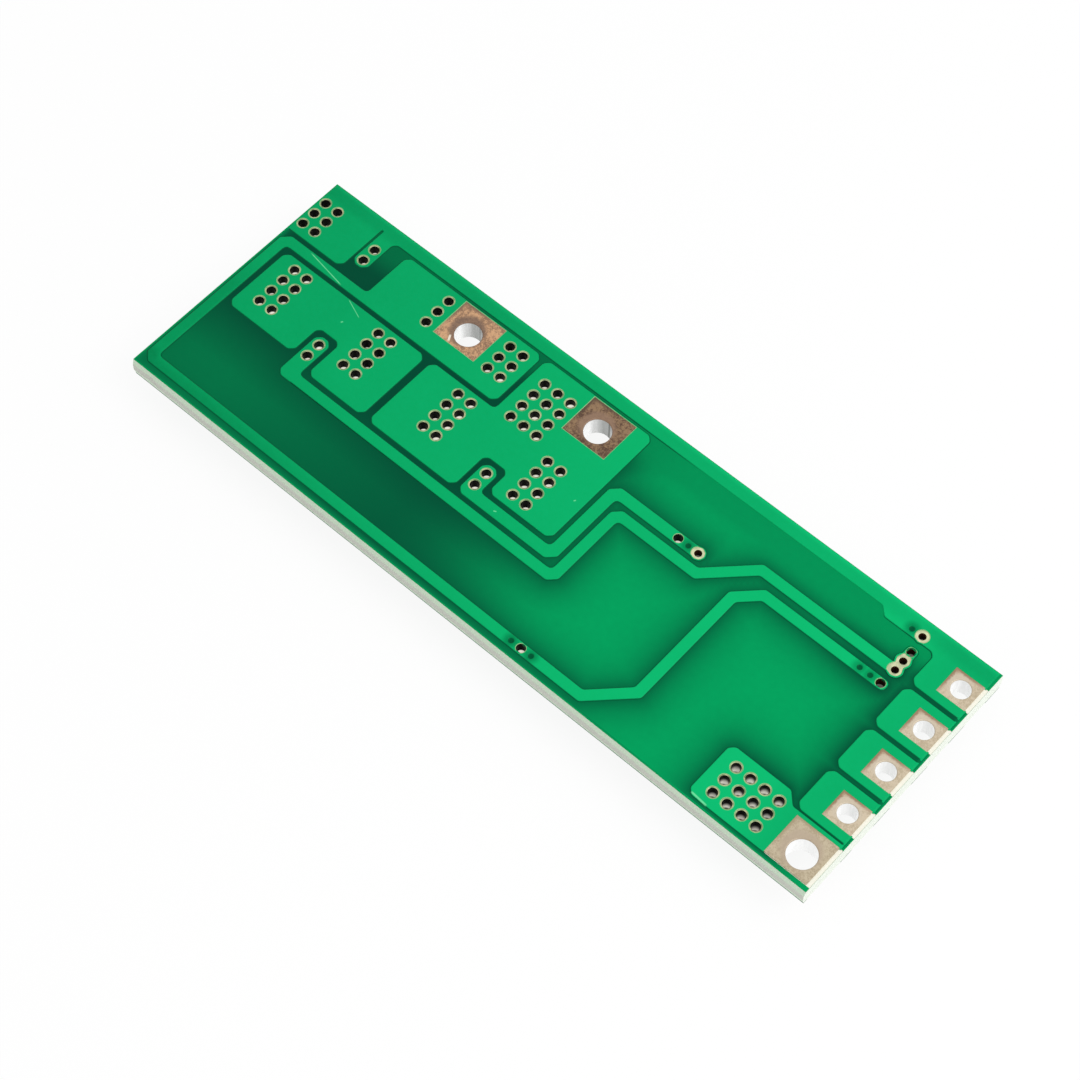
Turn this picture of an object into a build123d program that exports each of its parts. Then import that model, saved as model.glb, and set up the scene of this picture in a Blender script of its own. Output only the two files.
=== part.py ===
"""Battery protection board for a pack of four cells in series.

A two-layer circuit board lies with its solder side up and stands on the flat tops of the
four power transistors under it.  Copper foil lies on both faces of the laminate, and the
solder mask follows it as a thin film.  The plating of each hole is taken as part of its wall.

The layout runs from the front left corner of the board's face: x along the length, towards
the end with five wire pads, and y across the width.  The finished pieces are then centred.
"""
import os
from dataclasses import dataclass, field
from math import atan2, tan

from build123d import *

# Laminate, with V-scored long edges
BOARD_LENGTH = 60.0
BOARD_WIDTH = 20.8  # across the webs that are left where the scores were broken
LAMINATE = 1.6
SCORE_DEPTH = 0.5
SCORE_INSET = 0.15

# Layers on each face
FOIL = 0.07
MASK = 0.03
MASK_WALL = 0.05  # the film down the side of a copper edge

# Small vias, drilled and plated, each in a thin ring of bare copper
VIA_BORE = 0.58
VIA_RING = 0.13
VIA_SIDES = 6
VIA_PITCH = 1.18
SIGNAL_PITCH = 0.87
TEST_LAND = 1.05  # bare round land at the end of a signal track

# Wire holes and their bare pads
FOIL_HOLE_SIDES = 8  # the foil stops a little short of a round bore
LARGE_HOLE = 2.0
LARGE_PAD_LENGTH = 3.75
LARGE_PAD_WIDTH = 3.43
LARGE_HOLE_INSET = 3.43  # from the back edge
LARGE_HOLE_DROP = 0.28  # from the middle of the pad towards the front
LARGE_HOLE_SHIFT = 0.1  # and towards the right
CHARGE_HOLE_X = 15.94
PACK_HOLE_X = 27.94
TAP_HOLE = 1.4
TAP_PAD_LENGTH = 2.6  # from the end of the board
TAP_PAD_WIDTH = 2.25
TAP_INSET = 1.42  # from the end of the board
TAP_BACK_INSET = 2.66  # from the back edge to the last tap
TAP_CLEAR = 0.26  # from the first tap's copper to the large corner pad's
NEGATIVE_HOLE = 2.1
NEGATIVE_PAD_LENGTH = 3.73
NEGATIVE_PAD_WIDTH = 3.4
NEGATIVE_FRONT = 0.41
NEGATIVE_INSET = 1.8  # from the end of the board
NEGATIVE_HOLE_Y = 1.86

# Copper outlines
SIDE_GAP = 0.15  # copper kept back from the long edges and the left end
END_GAP = 0.3  # copper kept back from the end with the wire pads
POUR_GAP = 0.5
TRACK_GAP = 0.46
UNDER_GAP = 0.3
CORNER = 0.35
TRACK = 0.8
SENSE_TRACK = 0.72
STRIP_WIDTH = 0.9
STRIP_STEP = 0.62
TAP_POUR_LENGTH = 3.88
GATE_FINGER = 1.2
GATE_VIA_DROP = 1.12  # from the front row of a via group to the gate vias
FRONT_TRACK_Y = 0.98
SENSE_END_RISE = 5.32  # from the front row of vias
GATE_LEVEL = 3.6  # of the outer gate track's middle run, from the front row of vias
GATE_CLIMB = 3.12
FINGER_RIGHT = 6.67
DRAIN_SPLIT = 15.31  # middle of the gap between the two drain pours
DRAIN_GAP = 0.72

# Power transistors under the board, tab towards the back edge
GROUP_X = (3.06, 11.2, 18.77, 27.02)  # left column of the eight vias in each tab
GROUP_OFFSET = -0.87  # of their front row from the board's middle line
MOSFET_X = (3.75, 12.3, 19.4, 28.0)
TAB_END_REACH = 5.22  # from the front row of vias to the end of the tab
CASE_WIDTH = 6.6
CASE_LENGTH = 6.1
MOSFET_HEIGHT = 2.3
CASE_STANDOFF = 0.1
CASE_DRAFT = 8
PARTING = 0.95
TAB_WIDTH = 5.3
TAB_REACH = 1.1
TAB_UNDER = 4.6
TAB_THICKNESS = 0.5
LEAD_WIDTH = 0.76
LEAD_PITCH = 2.28
LEAD_REACH = 2.7
LEAD_FOOT = 1.3
STUB_REACH = 0.8

# Protection IC
IC_X = 38.6
IC_Y = 10.3
IC_WIDTH = 4.4
IC_LENGTH = 5.4
IC_HEIGHT = 1.1
IC_STANDOFF = 0.1
IC_SPAN = 6.4
IC_PINS = 8
IC_PITCH = 0.65
IC_LEAD_WIDTH = 0.25
IC_LEAD_THICKNESS = 0.15
IC_FOOT = 0.6

# Balancing parts, one row to a cell, and the shunt
ROW_DROP = 0.3  # from a tap's hole to its row
BALANCE_X = 50.0
TRANSISTOR_X = 45.6
CAPACITOR_X = 43.1
SHUNT_X = 45.0
SHUNT_Y = 2.4
SOT_WIDTH = 1.3
SOT_LENGTH = 2.9
SOT_HEIGHT = 1.0
SOT_STANDOFF = 0.1
SOT_SPAN = 2.4
SOT_PITCH = 0.95
SOT_LEAD_WIDTH = 0.4
SOT_LEAD_THICKNESS = 0.3

# Chip parts: length, width, height and terminal length
BALANCE_CHIP = (3.2, 1.6, 0.6, 0.5)
SHUNT_CHIP = (6.4, 3.2, 0.7, 0.9)
CAPACITOR_CHIP = (2.0, 1.25, 0.9, 0.4)
CHIP_COAT = 0.05  # how far a terminal stands proud of the ceramic
LAND_MARGIN = 0.3
FINE_TRACK = 0.6

# Levels and lines that follow from the sizes above
FACE_WIDTH = BOARD_WIDTH - 2 * SCORE_INSET
UNDER_COPPER = MOSFET_HEIGHT
LAMINATE_BOTTOM = UNDER_COPPER + FOIL
LAMINATE_TOP = LAMINATE_BOTTOM + LAMINATE
VIA_LAND = VIA_BORE / 2 + VIA_RING
BACK = FACE_WIDTH - SIDE_GAP
RIGHT = BOARD_LENGTH - END_GAP
LARGE_HOLE_Y = FACE_WIDTH - LARGE_HOLE_INSET
LARGE_PAD_Y = LARGE_HOLE_Y + LARGE_HOLE_DROP
POUR_TOP = LARGE_PAD_Y + LARGE_PAD_WIDTH / 2 + MASK_WALL
NEGATIVE_BACK = NEGATIVE_FRONT + NEGATIVE_PAD_WIDTH + 0.17
TAP_X = BOARD_LENGTH - TAP_INSET
TAP_SPAN = FACE_WIDTH - TAP_BACK_INSET - NEGATIVE_BACK - TAP_CLEAR
TAP_PITCH = (TAP_SPAN + TRACK_GAP / 2) / 3.5
TAP_Y = [FACE_WIDTH - TAP_BACK_INSET - (3 - i) * TAP_PITCH for i in range(4)]
TAP_HALF = (TAP_PITCH - TRACK_GAP) / 2
TAP_LEFT = RIGHT - TAP_POUR_LENGTH
NEGATIVE_X = BOARD_LENGTH - NEGATIVE_INSET
GROUP_Y = FACE_WIDTH / 2 + GROUP_OFFSET
GROUP_BACK = GROUP_Y + 3 * VIA_PITCH + VIA_LAND + 0.31
POSITIVE_FRONT = GROUP_BACK + 2 * POUR_GAP + SENSE_TRACK
TAB_END = GROUP_Y + TAB_END_REACH
CASE_BACK = TAB_END - TAB_REACH
CASE_FRONT = CASE_BACK - CASE_LENGTH
FOOT_TIP = CASE_FRONT - LEAD_REACH
GATE_X = (8.8, 24.56)
GATE_VIA_Y = GROUP_Y - GATE_VIA_DROP
INNER_GATE_Y = GATE_VIA_Y - 0.66
OUTER_GATE_Y = INNER_GATE_Y - TRACK - TRACK_GAP
PACK_LEFT, PACK_RIGHT = 21.5, 31.12  # pour of the second large pad
FRONT_END_X = 35.27  # ends of the signal tracks
FINE_END_X, FINE_END_Y = 37.55, GROUP_Y + 4.87
SENSE_END_X, SENSE_END_Y = TAP_LEFT - 1.42, GROUP_Y + SENSE_END_RISE
GATE_END_X, GATE_END_Y = TAP_LEFT - 1.32, GROUP_Y + GATE_LEVEL + GATE_CLIMB
CELL_ROWS = [y - ROW_DROP for y in TAP_Y]
BUS_FRONT = FRONT_TRACK_Y + VIA_LAND + UNDER_GAP
BUS_BACK = FOOT_TIP - LAND_MARGIN - UNDER_GAP


def grid(x, y, columns, rows, pitch=VIA_PITCH):
    """Hole centres of a group, counted from its front left hole."""
    return [(x + i * pitch, y + j * pitch) for i in range(columns) for j in range(rows)]


def corners_cut(points, cut, closed=True):
    """The same path with each corner cut at 45 degrees; a third value is a corner's own cut."""
    path = []
    for i, (x, y, *own) in enumerate(points):
        here, size = Vector(x, y), own[0] if own else cut
        is_end = not closed and i in (0, len(points) - 1)
        if is_end or size == 0:
            path.append(here)
            continue
        for other in (points[i - 1], points[(i + 1) % len(points)]):
            path.append(here + (Vector(*other[:2]) - here).normalized() * size)
    return path


def area(points):
    """The face inside a closed line, looking up whichever way round it is drawn."""
    return make_face(Polyline(*points, close=True))


def pour(points, cut=CORNER):
    """A copper area with its corners cut."""
    return area(corners_cut(points, cut))


def block(x0, x1, y0, y1):
    """A plain rectangle between two corners."""
    return pour([(x0, y0), (x1, y0), (x1, y1), (x0, y1)], cut=0)


def patch(x, y, length, width):
    """A plain rectangle about its middle."""
    return block(x - length / 2, x + length / 2, y - width / 2, y + width / 2)


def track(points, width, cut=CORNER):
    """A copper track: its centre line moved half a width to each side and mitred at the bends."""
    spine = corners_cut(points, cut, closed=False)
    runs = [(b - a).normalized() for a, b in zip(spine, spine[1:])]
    left, right = [], []
    for i, point in enumerate(spine):
        before, after = runs[max(i - 1, 0)], runs[min(i, len(runs) - 1)]
        across = (before + after).normalized().rotate(Axis.Z, 90)
        reach = across * (width / 2 / across.dot(after.rotate(Axis.Z, 90)))
        left.append(point + reach)
        right.append(point - reach)
    return area(left + right[::-1])


def spots(centres, radius, sides=VIA_SIDES):
    """The same small polygon at each of several places."""
    return Sketch() + [Pos(x, y) * RegularPolygon(radius, sides) for x, y in centres]


def raised(sketch, height, level):
    """A sketch given a height upwards from a level."""
    return extrude(Pos(0, 0, level) * sketch, height, dir=(0, 0, 1))


@dataclass
class Net:
    """One net on the solder side: its copper outline and the middles of its holes."""
    outline: Sketch
    ringed: list = field(default_factory=list)  # small vias in a ring of bare copper
    plain: list = field(default_factory=list)  # small vias with the film up to the bore
    lands: list = field(default_factory=list)  # small vias in a wide bare land
    wires: list = field(default_factory=list)  # x, y and diameter of each wire hole


def lands_at(places, growth=0.0):
    """Eight-sided lands at the ends of tracks."""
    return spots(places, TEST_LAND / 2 + growth, 8)


def pack_positive():
    """Strip along the back edge with a pour at the left end, a finger and the last tap pad."""
    strip, tap = BACK - STRIP_WIDTH, TAP_Y[3] - TAP_HALF
    wide = strip - STRIP_STEP
    slit, finger_left, step = FINGER_RIGHT - 1.49, FINGER_RIGHT - 1.19, TAP_LEFT - 4.27
    finger_front, slit_end = POSITIVE_FRONT + 0.9, BACK - 0.65
    outline = pour([
        (SIDE_GAP, BACK, 0), (RIGHT, BACK, 0), (RIGHT, tap, 0), (TAP_LEFT, tap), (TAP_LEFT, wide),
        (step, wide, 0), (step - STRIP_STEP, strip, 0), (FINGER_RIGHT, strip),
        (FINGER_RIGHT, finger_front), (finger_left, finger_front), (finger_left, slit_end, 0),
        (slit, slit_end, 0), (slit, POSITIVE_FRONT), (SIDE_GAP, POSITIVE_FRONT, 0),
    ])
    finger = grid((finger_left + FINGER_RIGHT) / 2, finger_front + 0.54, 1, 2)
    ringed = grid(0.62, POSITIVE_FRONT + 0.92, 2, 3) + finger
    lands = [(TAP_LEFT - 1.49, wide + VIA_LAND)]
    return Net(outline + lands_at(lands), ringed, [], lands, [(TAP_X, TAP_Y[3], TAP_HOLE)])


def charge_negative():
    """Pour of the first large pad, and its track round the left and front edges to the right."""
    left, right, front = 8.27, PACK_LEFT - POUR_GAP, GROUP_BACK + POUR_GAP
    edge, first, riser, rise = SIDE_GAP + 0.52, front + SENSE_TRACK / 2, 43.1, 2.65
    outline = pour([(left, front), (right, front), (right, POUR_TOP), (left, POUR_TOP)])
    outline += track([
        (left + 1, first), (edge, first), (edge, FRONT_TRACK_Y), (riser - rise, FRONT_TRACK_Y, 0),
        (riser, FRONT_TRACK_Y + rise, 0), (riser, SENSE_END_Y - 1.5, 0), (riser + 1.5, SENSE_END_Y, 0),
        (SENSE_END_X + 0.42, SENSE_END_Y),
    ], SENSE_TRACK)
    row = LARGE_HOLE_Y - VIA_PITCH
    ringed = grid(CHARGE_HOLE_X - 2.92, row, 1, 3) + grid(CHARGE_HOLE_X + 2.88, row, 2, 3)
    plain = [(FRONT_END_X, FRONT_TRACK_Y), (SENSE_END_X, SENSE_END_Y)]
    return Net(outline, ringed, plain, [], [(CHARGE_HOLE_X, LARGE_HOLE_Y, LARGE_HOLE)])


def notched(left, right, low_left, low_right, gate_x):
    """A pour with a slot in its front edge round a pair of gate vias."""
    half = GATE_FINGER / 2 + POUR_GAP
    top = GATE_VIA_Y + VIA_PITCH + 0.62 + POUR_GAP
    return pour([
        (left, low_left), (gate_x - half, low_left), (gate_x - half, top), (gate_x + half, top),
        (gate_x + half, low_right), (right, low_right), (right, GROUP_BACK), (left, GROUP_BACK),
    ])


def charge_drain():
    """Pour that joins the tabs of the first two transistors."""
    low = OUTER_GATE_Y + TRACK / 2 + POUR_GAP
    groups = grid(GROUP_X[0], GROUP_Y, 2, 4) + grid(GROUP_X[1], GROUP_Y, 2, 4)
    return Net(notched(1.58, DRAIN_SPLIT - DRAIN_GAP / 2, low + 0.6, low, GATE_X[0]), groups)


def pack_negative():
    """Pour of the second large pad, which joins the tabs of the other two transistors."""
    outer, inner = (y + TRACK / 2 + POUR_GAP for y in (OUTER_GATE_Y, INNER_GATE_Y))
    join = GROUP_BACK - 1
    outline = notched(DRAIN_SPLIT + DRAIN_GAP / 2, PACK_RIGHT, outer, inner, GATE_X[1])
    outline += pour([
        (PACK_LEFT, join, 0), (PACK_RIGHT, join, 0), (PACK_RIGHT, POUR_TOP), (PACK_LEFT, POUR_TOP),
    ])
    groups = grid(GROUP_X[2], GROUP_Y, 2, 4) + grid(GROUP_X[3], GROUP_Y, 2, 4)
    groups += grid(PACK_HOLE_X - 5.24, GROUP_BACK + 0.33, 3, 4)
    return Net(outline, groups, wires=[(PACK_HOLE_X, LARGE_HOLE_Y, LARGE_HOLE)])


def gate_finger(x, track_y):
    """The broad start of a gate track, over its two vias."""
    half, front, back = GATE_FINGER / 2, track_y - TRACK / 2, GATE_VIA_Y + VIA_PITCH + 0.62
    return pour([(x - half, front), (x + half, front, 0), (x + half, back), (x - half, back)])


def charge_gate():
    """Gate track of the first two transistors, outside the other one and on to the right end."""
    riser, turn, level = 33.23, 40.15, GROUP_Y + GATE_LEVEL
    outline = gate_finger(GATE_X[0], OUTER_GATE_Y) + track([
        (GATE_X[0], OUTER_GATE_Y), (riser, OUTER_GATE_Y), (riser, level), (turn, level, 0),
        (turn + GATE_CLIMB, GATE_END_Y, 0), (GATE_END_X, GATE_END_Y), (GATE_END_X, GATE_END_Y + 2.1),
    ], SENSE_TRACK)
    ends = grid(GATE_END_X, GATE_END_Y, 1, 3, SIGNAL_PITCH)
    return Net(outline + lands_at(ends[:2]), grid(GATE_X[0], GATE_VIA_Y, 1, 2), ends[2:], ends[:2])


def discharge_gate():
    """Gate track of the other two transistors."""
    riser = 32.0
    ends = grid(FINE_END_X, FINE_END_Y, 3, 1, SIGNAL_PITCH)
    outline = gate_finger(GATE_X[1], INNER_GATE_Y) + track([
        (GATE_X[1], INNER_GATE_Y), (riser, INNER_GATE_Y), (riser, FINE_END_Y), ends[2],
    ], TRACK)
    return Net(outline + lands_at(ends[2:]), grid(GATE_X[1], GATE_VIA_Y, 1, 2), ends[:1], ends[2:])


def cell_tap(y):
    """Wire pad of one tap between two cells."""
    front, back = y - TAP_HALF, y + TAP_HALF
    outline = pour([(TAP_LEFT, front), (RIGHT, front, 0), (RIGHT, back, 0), (TAP_LEFT, back)])
    return Net(outline, wires=[(TAP_X, y, TAP_HOLE)])


def battery_negative():
    """Large wire pad in the corner with its group of twelve vias."""
    top, slope = 4.8, 0.78
    left, neck = TAP_LEFT - 5.79, TAP_LEFT - 0.17
    outline = pour([
        (left, NEGATIVE_FRONT), (RIGHT, NEGATIVE_FRONT, 0), (RIGHT, NEGATIVE_BACK, 0),
        (neck, NEGATIVE_BACK, 0), (neck - slope, top, 0), (left, top),
    ])
    vias = grid(left + 1.25, NEGATIVE_FRONT + 0.97, 4, 3)
    return Net(outline, vias, wires=[(NEGATIVE_X, NEGATIVE_HOLE_Y, NEGATIVE_HOLE)])


NETS = {
    "pack_positive_copper": pack_positive(),
    "charge_negative_copper": charge_negative(),
    "charge_drain_copper": charge_drain(),
    "pack_negative_copper": pack_negative(),
    "charge_gate_copper": charge_gate(),
    "discharge_gate_copper": discharge_gate(),
    "cell_tap_1_copper": cell_tap(TAP_Y[0]),
    "cell_tap_2_copper": cell_tap(TAP_Y[1]),
    "cell_tap_3_copper": cell_tap(TAP_Y[2]),
    "battery_negative_copper": battery_negative(),
}


def via_bores(nets):
    """Outlines of the small bores of some nets."""
    return spots([via for net in nets for via in net.ringed + net.plain + net.lands], VIA_BORE / 2)


def wire_bores():
    """Round outlines of all the wire holes."""
    return [Pos(x, y) * Circle(size / 2) for net in NETS.values() for x, y, size in net.wires]


def foil_holes(nets):
    """Flat-sided outlines of the wire holes in the foil of some nets."""
    return [Pos(x, y) * RegularPolygon(size / 2, FOIL_HOLE_SIDES, major_radius=False)
            for net in nets for x, y, size in net.wires]


def solder_side_copper(net):
    """Foil of one net, drilled."""
    return raised(net.outline - (via_bores([net]) + foil_holes([net])), FOIL, LAMINATE_TOP)


def laminate():
    """Glass-fibre board with scored long edges, drilled for the vias and the wires."""
    half, low, high = BOARD_WIDTH / 2, LAMINATE_BOTTOM, LAMINATE_TOP
    side = [(half - SCORE_INSET, low), (half, low + SCORE_DEPTH),
            (half, high - SCORE_DEPTH), (half - SCORE_INSET, high)]
    section = area(side + [(-y, z) for y, z in reversed(side)])
    board = Pos(0, FACE_WIDTH / 2) * extrude(Plane.YZ * section, BOARD_LENGTH, dir=(1, 0, 0))
    return board - raised(via_bores(NETS.values()) + wire_bores(), LAMINATE, LAMINATE_BOTTOM)


def wire_pads():
    """Bare areas round the wire holes; those at the right run out over the board's end."""
    pads = [patch(x - LARGE_HOLE_SHIFT, LARGE_PAD_Y, LARGE_PAD_LENGTH, LARGE_PAD_WIDTH)
            for x in (CHARGE_HOLE_X, PACK_HOLE_X)]
    half, left = TAP_PAD_WIDTH / 2, BOARD_LENGTH - TAP_PAD_LENGTH
    pads += [block(left, BOARD_LENGTH, y - half, y + half) for y in TAP_Y]
    front = NEGATIVE_FRONT - MASK_WALL
    corner = block(BOARD_LENGTH - NEGATIVE_PAD_LENGTH, BOARD_LENGTH, front, front + NEGATIVE_PAD_WIDTH)
    return pads + [corner]


def solder_mask_top():
    """Film over the solder side: thin on the laminate, and up and over each piece of copper."""
    nets = NETS.values()
    copper = Sketch() + [net.outline for net in nets]
    over = offset(copper, MASK_WALL, kind=Kind.INTERSECTION)
    film = raised(block(0, BOARD_LENGTH, 0, FACE_WIDTH), MASK, LAMINATE_TOP)
    film += raised(over, FOIL + MASK, LAMINATE_TOP)
    film -= raised(copper, FOIL, LAMINATE_TOP)
    bare = spots([via for net in nets for via in net.ringed], VIA_LAND)
    bare += spots([via for net in nets for via in net.plain], VIA_BORE / 2)
    bare += lands_at([via for net in nets for via in net.lands], MASK_WALL)
    return film - raised(bare + wire_pads(), FOIL + MASK, LAMINATE_TOP)


# Component side: the copper of each group of parts, and the lands where they are soldered

def tab_land(x):
    """Where a transistor's tab is soldered."""
    half, front = TAB_WIDTH / 2 + LAND_MARGIN, CASE_BACK - TAB_UNDER - LAND_MARGIN
    return block(x - half, x + half, front, TAB_END + LAND_MARGIN)


def foot_land(x):
    """Where an outer lead of a transistor is soldered."""
    half = LEAD_WIDTH / 2 + LAND_MARGIN / 2
    return block(x - half, x + half, FOOT_TIP - LAND_MARGIN, FOOT_TIP + LEAD_FOOT + LAND_MARGIN)


def chip_lands(x, y, size, turned=False):
    """The two lands of a chip part."""
    length, width, _, terminal = size
    reach, side = (length - terminal) / 2, width + LAND_MARGIN
    if turned:
        return [patch(x, y + end, side, terminal + LAND_MARGIN) for end in (-reach, reach)]
    return [patch(x + end, y, terminal + LAND_MARGIN, side) for end in (-reach, reach)]


def transistor_lands(y):
    """The three lands of a balance transistor: one towards its resistor, two away from it."""
    near, far, half = SOT_WIDTH / 2 - 0.1, SOT_SPAN / 2 + LAND_MARGIN, SOT_LEAD_WIDTH / 2 + 0.1
    x = TRANSISTOR_X
    lands = [block(x - far, x - near, row - half, row + half) for row in (y - SOT_PITCH, y + SOT_PITCH)]
    return lands + [block(x + near, x + far, y - half, y + half)]


def ic_lands():
    """Two rows of lands for the leads of the protection IC."""
    reach, first = (IC_SPAN - IC_FOOT) / 2, IC_Y - (IC_PINS - 1) / 2 * IC_PITCH
    return [patch(IC_X + side * reach, first + i * IC_PITCH, IC_FOOT + LAND_MARGIN, IC_LEAD_WIDTH + 0.1)
            for side in (-1, 1) for i in range(IC_PINS)]


def ic_openings():
    """One opening in the film for each row of the IC's lands."""
    return [patch(IC_X + side * (IC_SPAN - IC_FOOT) / 2, IC_Y, IC_FOOT + LAND_MARGIN, IC_PINS * IC_PITCH)
            for side in (-1, 1)]


def small_lands():
    """Lands of the balancing parts and the capacitors."""
    lands = []
    for y in CELL_ROWS:
        lands += chip_lands(BALANCE_X, y, BALANCE_CHIP) + chip_lands(CAPACITOR_X, y, CAPACITOR_CHIP, True)
        lands += transistor_lands(y)
    return lands


def under_power():
    """Drain pours, the pour of the first large pad and the pour behind the shunt."""
    front, back = CASE_FRONT + 0.8, TAB_END + LAND_MARGIN
    slot, slot_top = GATE_FINGER / 2 + TRACK_GAP, GATE_VIA_Y + VIA_PITCH + VIA_LAND + TRACK_GAP
    sides = ((0.5, DRAIN_SPLIT - DRAIN_GAP / 2), (DRAIN_SPLIT + DRAIN_GAP / 2, PACK_RIGHT))
    drains = [block(left, right, front, back) - block(x - slot, x + slot, front, slot_top)
              for (left, right), x in zip(sides, GATE_X)]
    drains[1] += block(PACK_LEFT, PACK_RIGHT, back, POUR_TOP)
    charge = block(12.4, PACK_LEFT - 0.9, back + POUR_GAP, POUR_TOP)
    negative = block(SHUNT_X + 2, RIGHT, NEGATIVE_FRONT, NEGATIVE_BACK)
    return Sketch() + drains + charge + negative + chip_lands(SHUNT_X, SHUNT_Y, SHUNT_CHIP)[1:]


def source_bus():
    """Broad bus from the source leads to the shunt."""
    bus = block(0.6, SHUNT_X - 2, BUS_FRONT, BUS_BACK) + chip_lands(SHUNT_X, SHUNT_Y, SHUNT_CHIP)[:1]
    feet = [x - LEAD_PITCH for x in MOSFET_X]
    return bus + [block(x - 0.5, x + 0.5, BUS_BACK, FOOT_TIP + LEAD_FOOT + LAND_MARGIN) for x in feet]


def under_taps():
    """Pour of each cell tap, with a track to the balance resistor in its row."""
    near = BALANCE_X + BALANCE_CHIP[0] / 2
    pours = [block(TAP_LEFT, RIGHT, y - TAP_HALF, y + TAP_HALF) for y in TAP_Y[:3]]
    tracks = [block(near, TAP_LEFT, y - FINE_TRACK / 2, y + FINE_TRACK / 2) for y in CELL_ROWS[:3]]
    wide = BACK - STRIP_WIDTH - STRIP_STEP
    plus = block(TAP_LEFT, RIGHT, TAP_Y[3] - TAP_HALF, BACK) + block(near - 0.6, TAP_LEFT, wide, BACK)
    plus += block(near - 0.6, near + 0.2, CELL_ROWS[3], wide)
    left = block(SIDE_GAP, FINGER_RIGHT, POSITIVE_FRONT, BACK)
    return Sketch() + pours + tracks + plus + left


def under_gates(via_x, pair):
    """Track between the gate leads of two transistors, up to their vias."""
    link, half = CASE_FRONT - 0.5, FINE_TRACK / 4
    feet = [x + LEAD_PITCH for x in pair]
    column = block(via_x - VIA_LAND, via_x + VIA_LAND, link - half, GATE_VIA_Y + VIA_PITCH + VIA_LAND)
    return column + block(feet[0], feet[1], link - half, link + half) + [
        block(x - 0.5, x + 0.5, FOOT_TIP - LAND_MARGIN, link + half) for x in feet]


def under_signals():
    """Gate copper, the ends of the signal tracks and all the small lands with their links."""
    signals = under_gates(GATE_X[0], MOSFET_X[:2]) + under_gates(GATE_X[1], MOSFET_X[2:])
    half, ring = SIGNAL_PITCH + VIA_LAND, VIA_LAND
    signals += patch(FRONT_END_X, FRONT_TRACK_Y, 2 * half, 2 * ring)
    signals += patch(FINE_END_X + SIGNAL_PITCH, FINE_END_Y, 2 * half, 2 * ring)
    signals += patch(SENSE_END_X - SIGNAL_PITCH, SENSE_END_Y, 2 * half, 2 * ring)
    signals += patch(GATE_END_X, GATE_END_Y + SIGNAL_PITCH, 2 * ring, 2 * half)
    middle, reach = (TRANSISTOR_X + BALANCE_X) / 2, BALANCE_X - TRANSISTOR_X - 2.2
    links = [patch(middle, y, reach, FINE_TRACK) for y in CELL_ROWS]
    links += [block(CAPACITOR_X, TRANSISTOR_X - 1, y + side - 0.15, y + side + 0.15)
              for y in CELL_ROWS for side in (-SOT_PITCH, SOT_PITCH)]
    return signals + ic_lands() + small_lands() + links


UNDER = {
    "under_power_copper": under_power(),
    "source_bus_copper": source_bus(),
    "under_tap_copper": under_taps(),
}
UNDER["under_signal_copper"] = under_signals() - UNDER["under_tap_copper"]


def component_side_copper(outline):
    """Foil on the component side, drilled for the wires."""
    return raised(outline - foil_holes(NETS.values()), FOIL, UNDER_COPPER)


def solder_mask_under():
    """Film over the component side, level with the lands it leaves bare."""
    film = raised(block(0, BOARD_LENGTH, 0, FACE_WIDTH), FOIL + MASK, UNDER_COPPER - MASK)
    film -= raised(Sketch() + list(UNDER.values()), FOIL, UNDER_COPPER)
    bare = ic_openings() + small_lands() + [tab_land(x) for x in MOSFET_X] + wire_pads()
    bare += [foot_land(x + side) for x in MOSFET_X for side in (-LEAD_PITCH, LEAD_PITCH)]
    bare += chip_lands(SHUNT_X, SHUNT_Y, SHUNT_CHIP)
    return film - raised(Sketch() + bare, FOIL + MASK, UNDER_COPPER - MASK)


# The parts soldered under the board, drawn upright on their lands

def gull_wing(reach, foot, drop, thickness, width):
    """Bent lead that leaves the case at y = 0, drops and lies flat on its foot."""
    rise = drop - thickness
    knee = thickness * tan(atan2(rise, thickness) / 2)
    toe, bend, shoulder = -reach, foot - reach, foot + thickness - reach
    profile = area([
        (0, drop), (shoulder, drop), (bend, thickness), (toe, thickness),
        (toe, 0), (bend + knee, 0), (shoulder + knee, rise), (0, rise),
    ])
    return extrude(Plane.YZ * profile, width / 2, both=True)


def mosfet_case():
    """Moulded case: a straight foot and a drafted top, with a seat for the tab."""
    outline = Pos(0, CASE_LENGTH / 2) * Rectangle(CASE_WIDTH, CASE_LENGTH)
    case = raised(outline, PARTING - CASE_STANDOFF, CASE_STANDOFF)
    case += extrude(Pos(0, 0, PARTING) * outline, MOSFET_HEIGHT - PARTING, taper=CASE_DRAFT)
    seat = block(-TAB_WIDTH / 2, TAB_WIDTH / 2, CASE_LENGTH - TAB_UNDER, CASE_LENGTH)
    return case - raised(seat, TAB_THICKNESS - CASE_STANDOFF, CASE_STANDOFF)


def mosfet_frame():
    """Lead frame: the tab, the cut-off middle lead and the two outer leads."""
    half, front, end = TAB_WIDTH / 2, CASE_LENGTH - TAB_UNDER, CASE_LENGTH + TAB_REACH
    outline = pour([(-half, front, 0), (half, front, 0), (half, end, 0.5), (-half, end, 0.5)])
    tab = raised(outline, TAB_THICKNESS, 0)
    stub = block(-LEAD_WIDTH / 2, LEAD_WIDTH / 2, -STUB_REACH, 0)
    lead = gull_wing(LEAD_REACH, LEAD_FOOT, PARTING, TAB_THICKNESS, LEAD_WIDTH)
    leads = [Pos(x, 0) * lead for x in (-LEAD_PITCH, LEAD_PITCH)]
    return Part() + [tab, raised(stub, TAB_THICKNESS, PARTING - TAB_THICKNESS)] + leads


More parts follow.
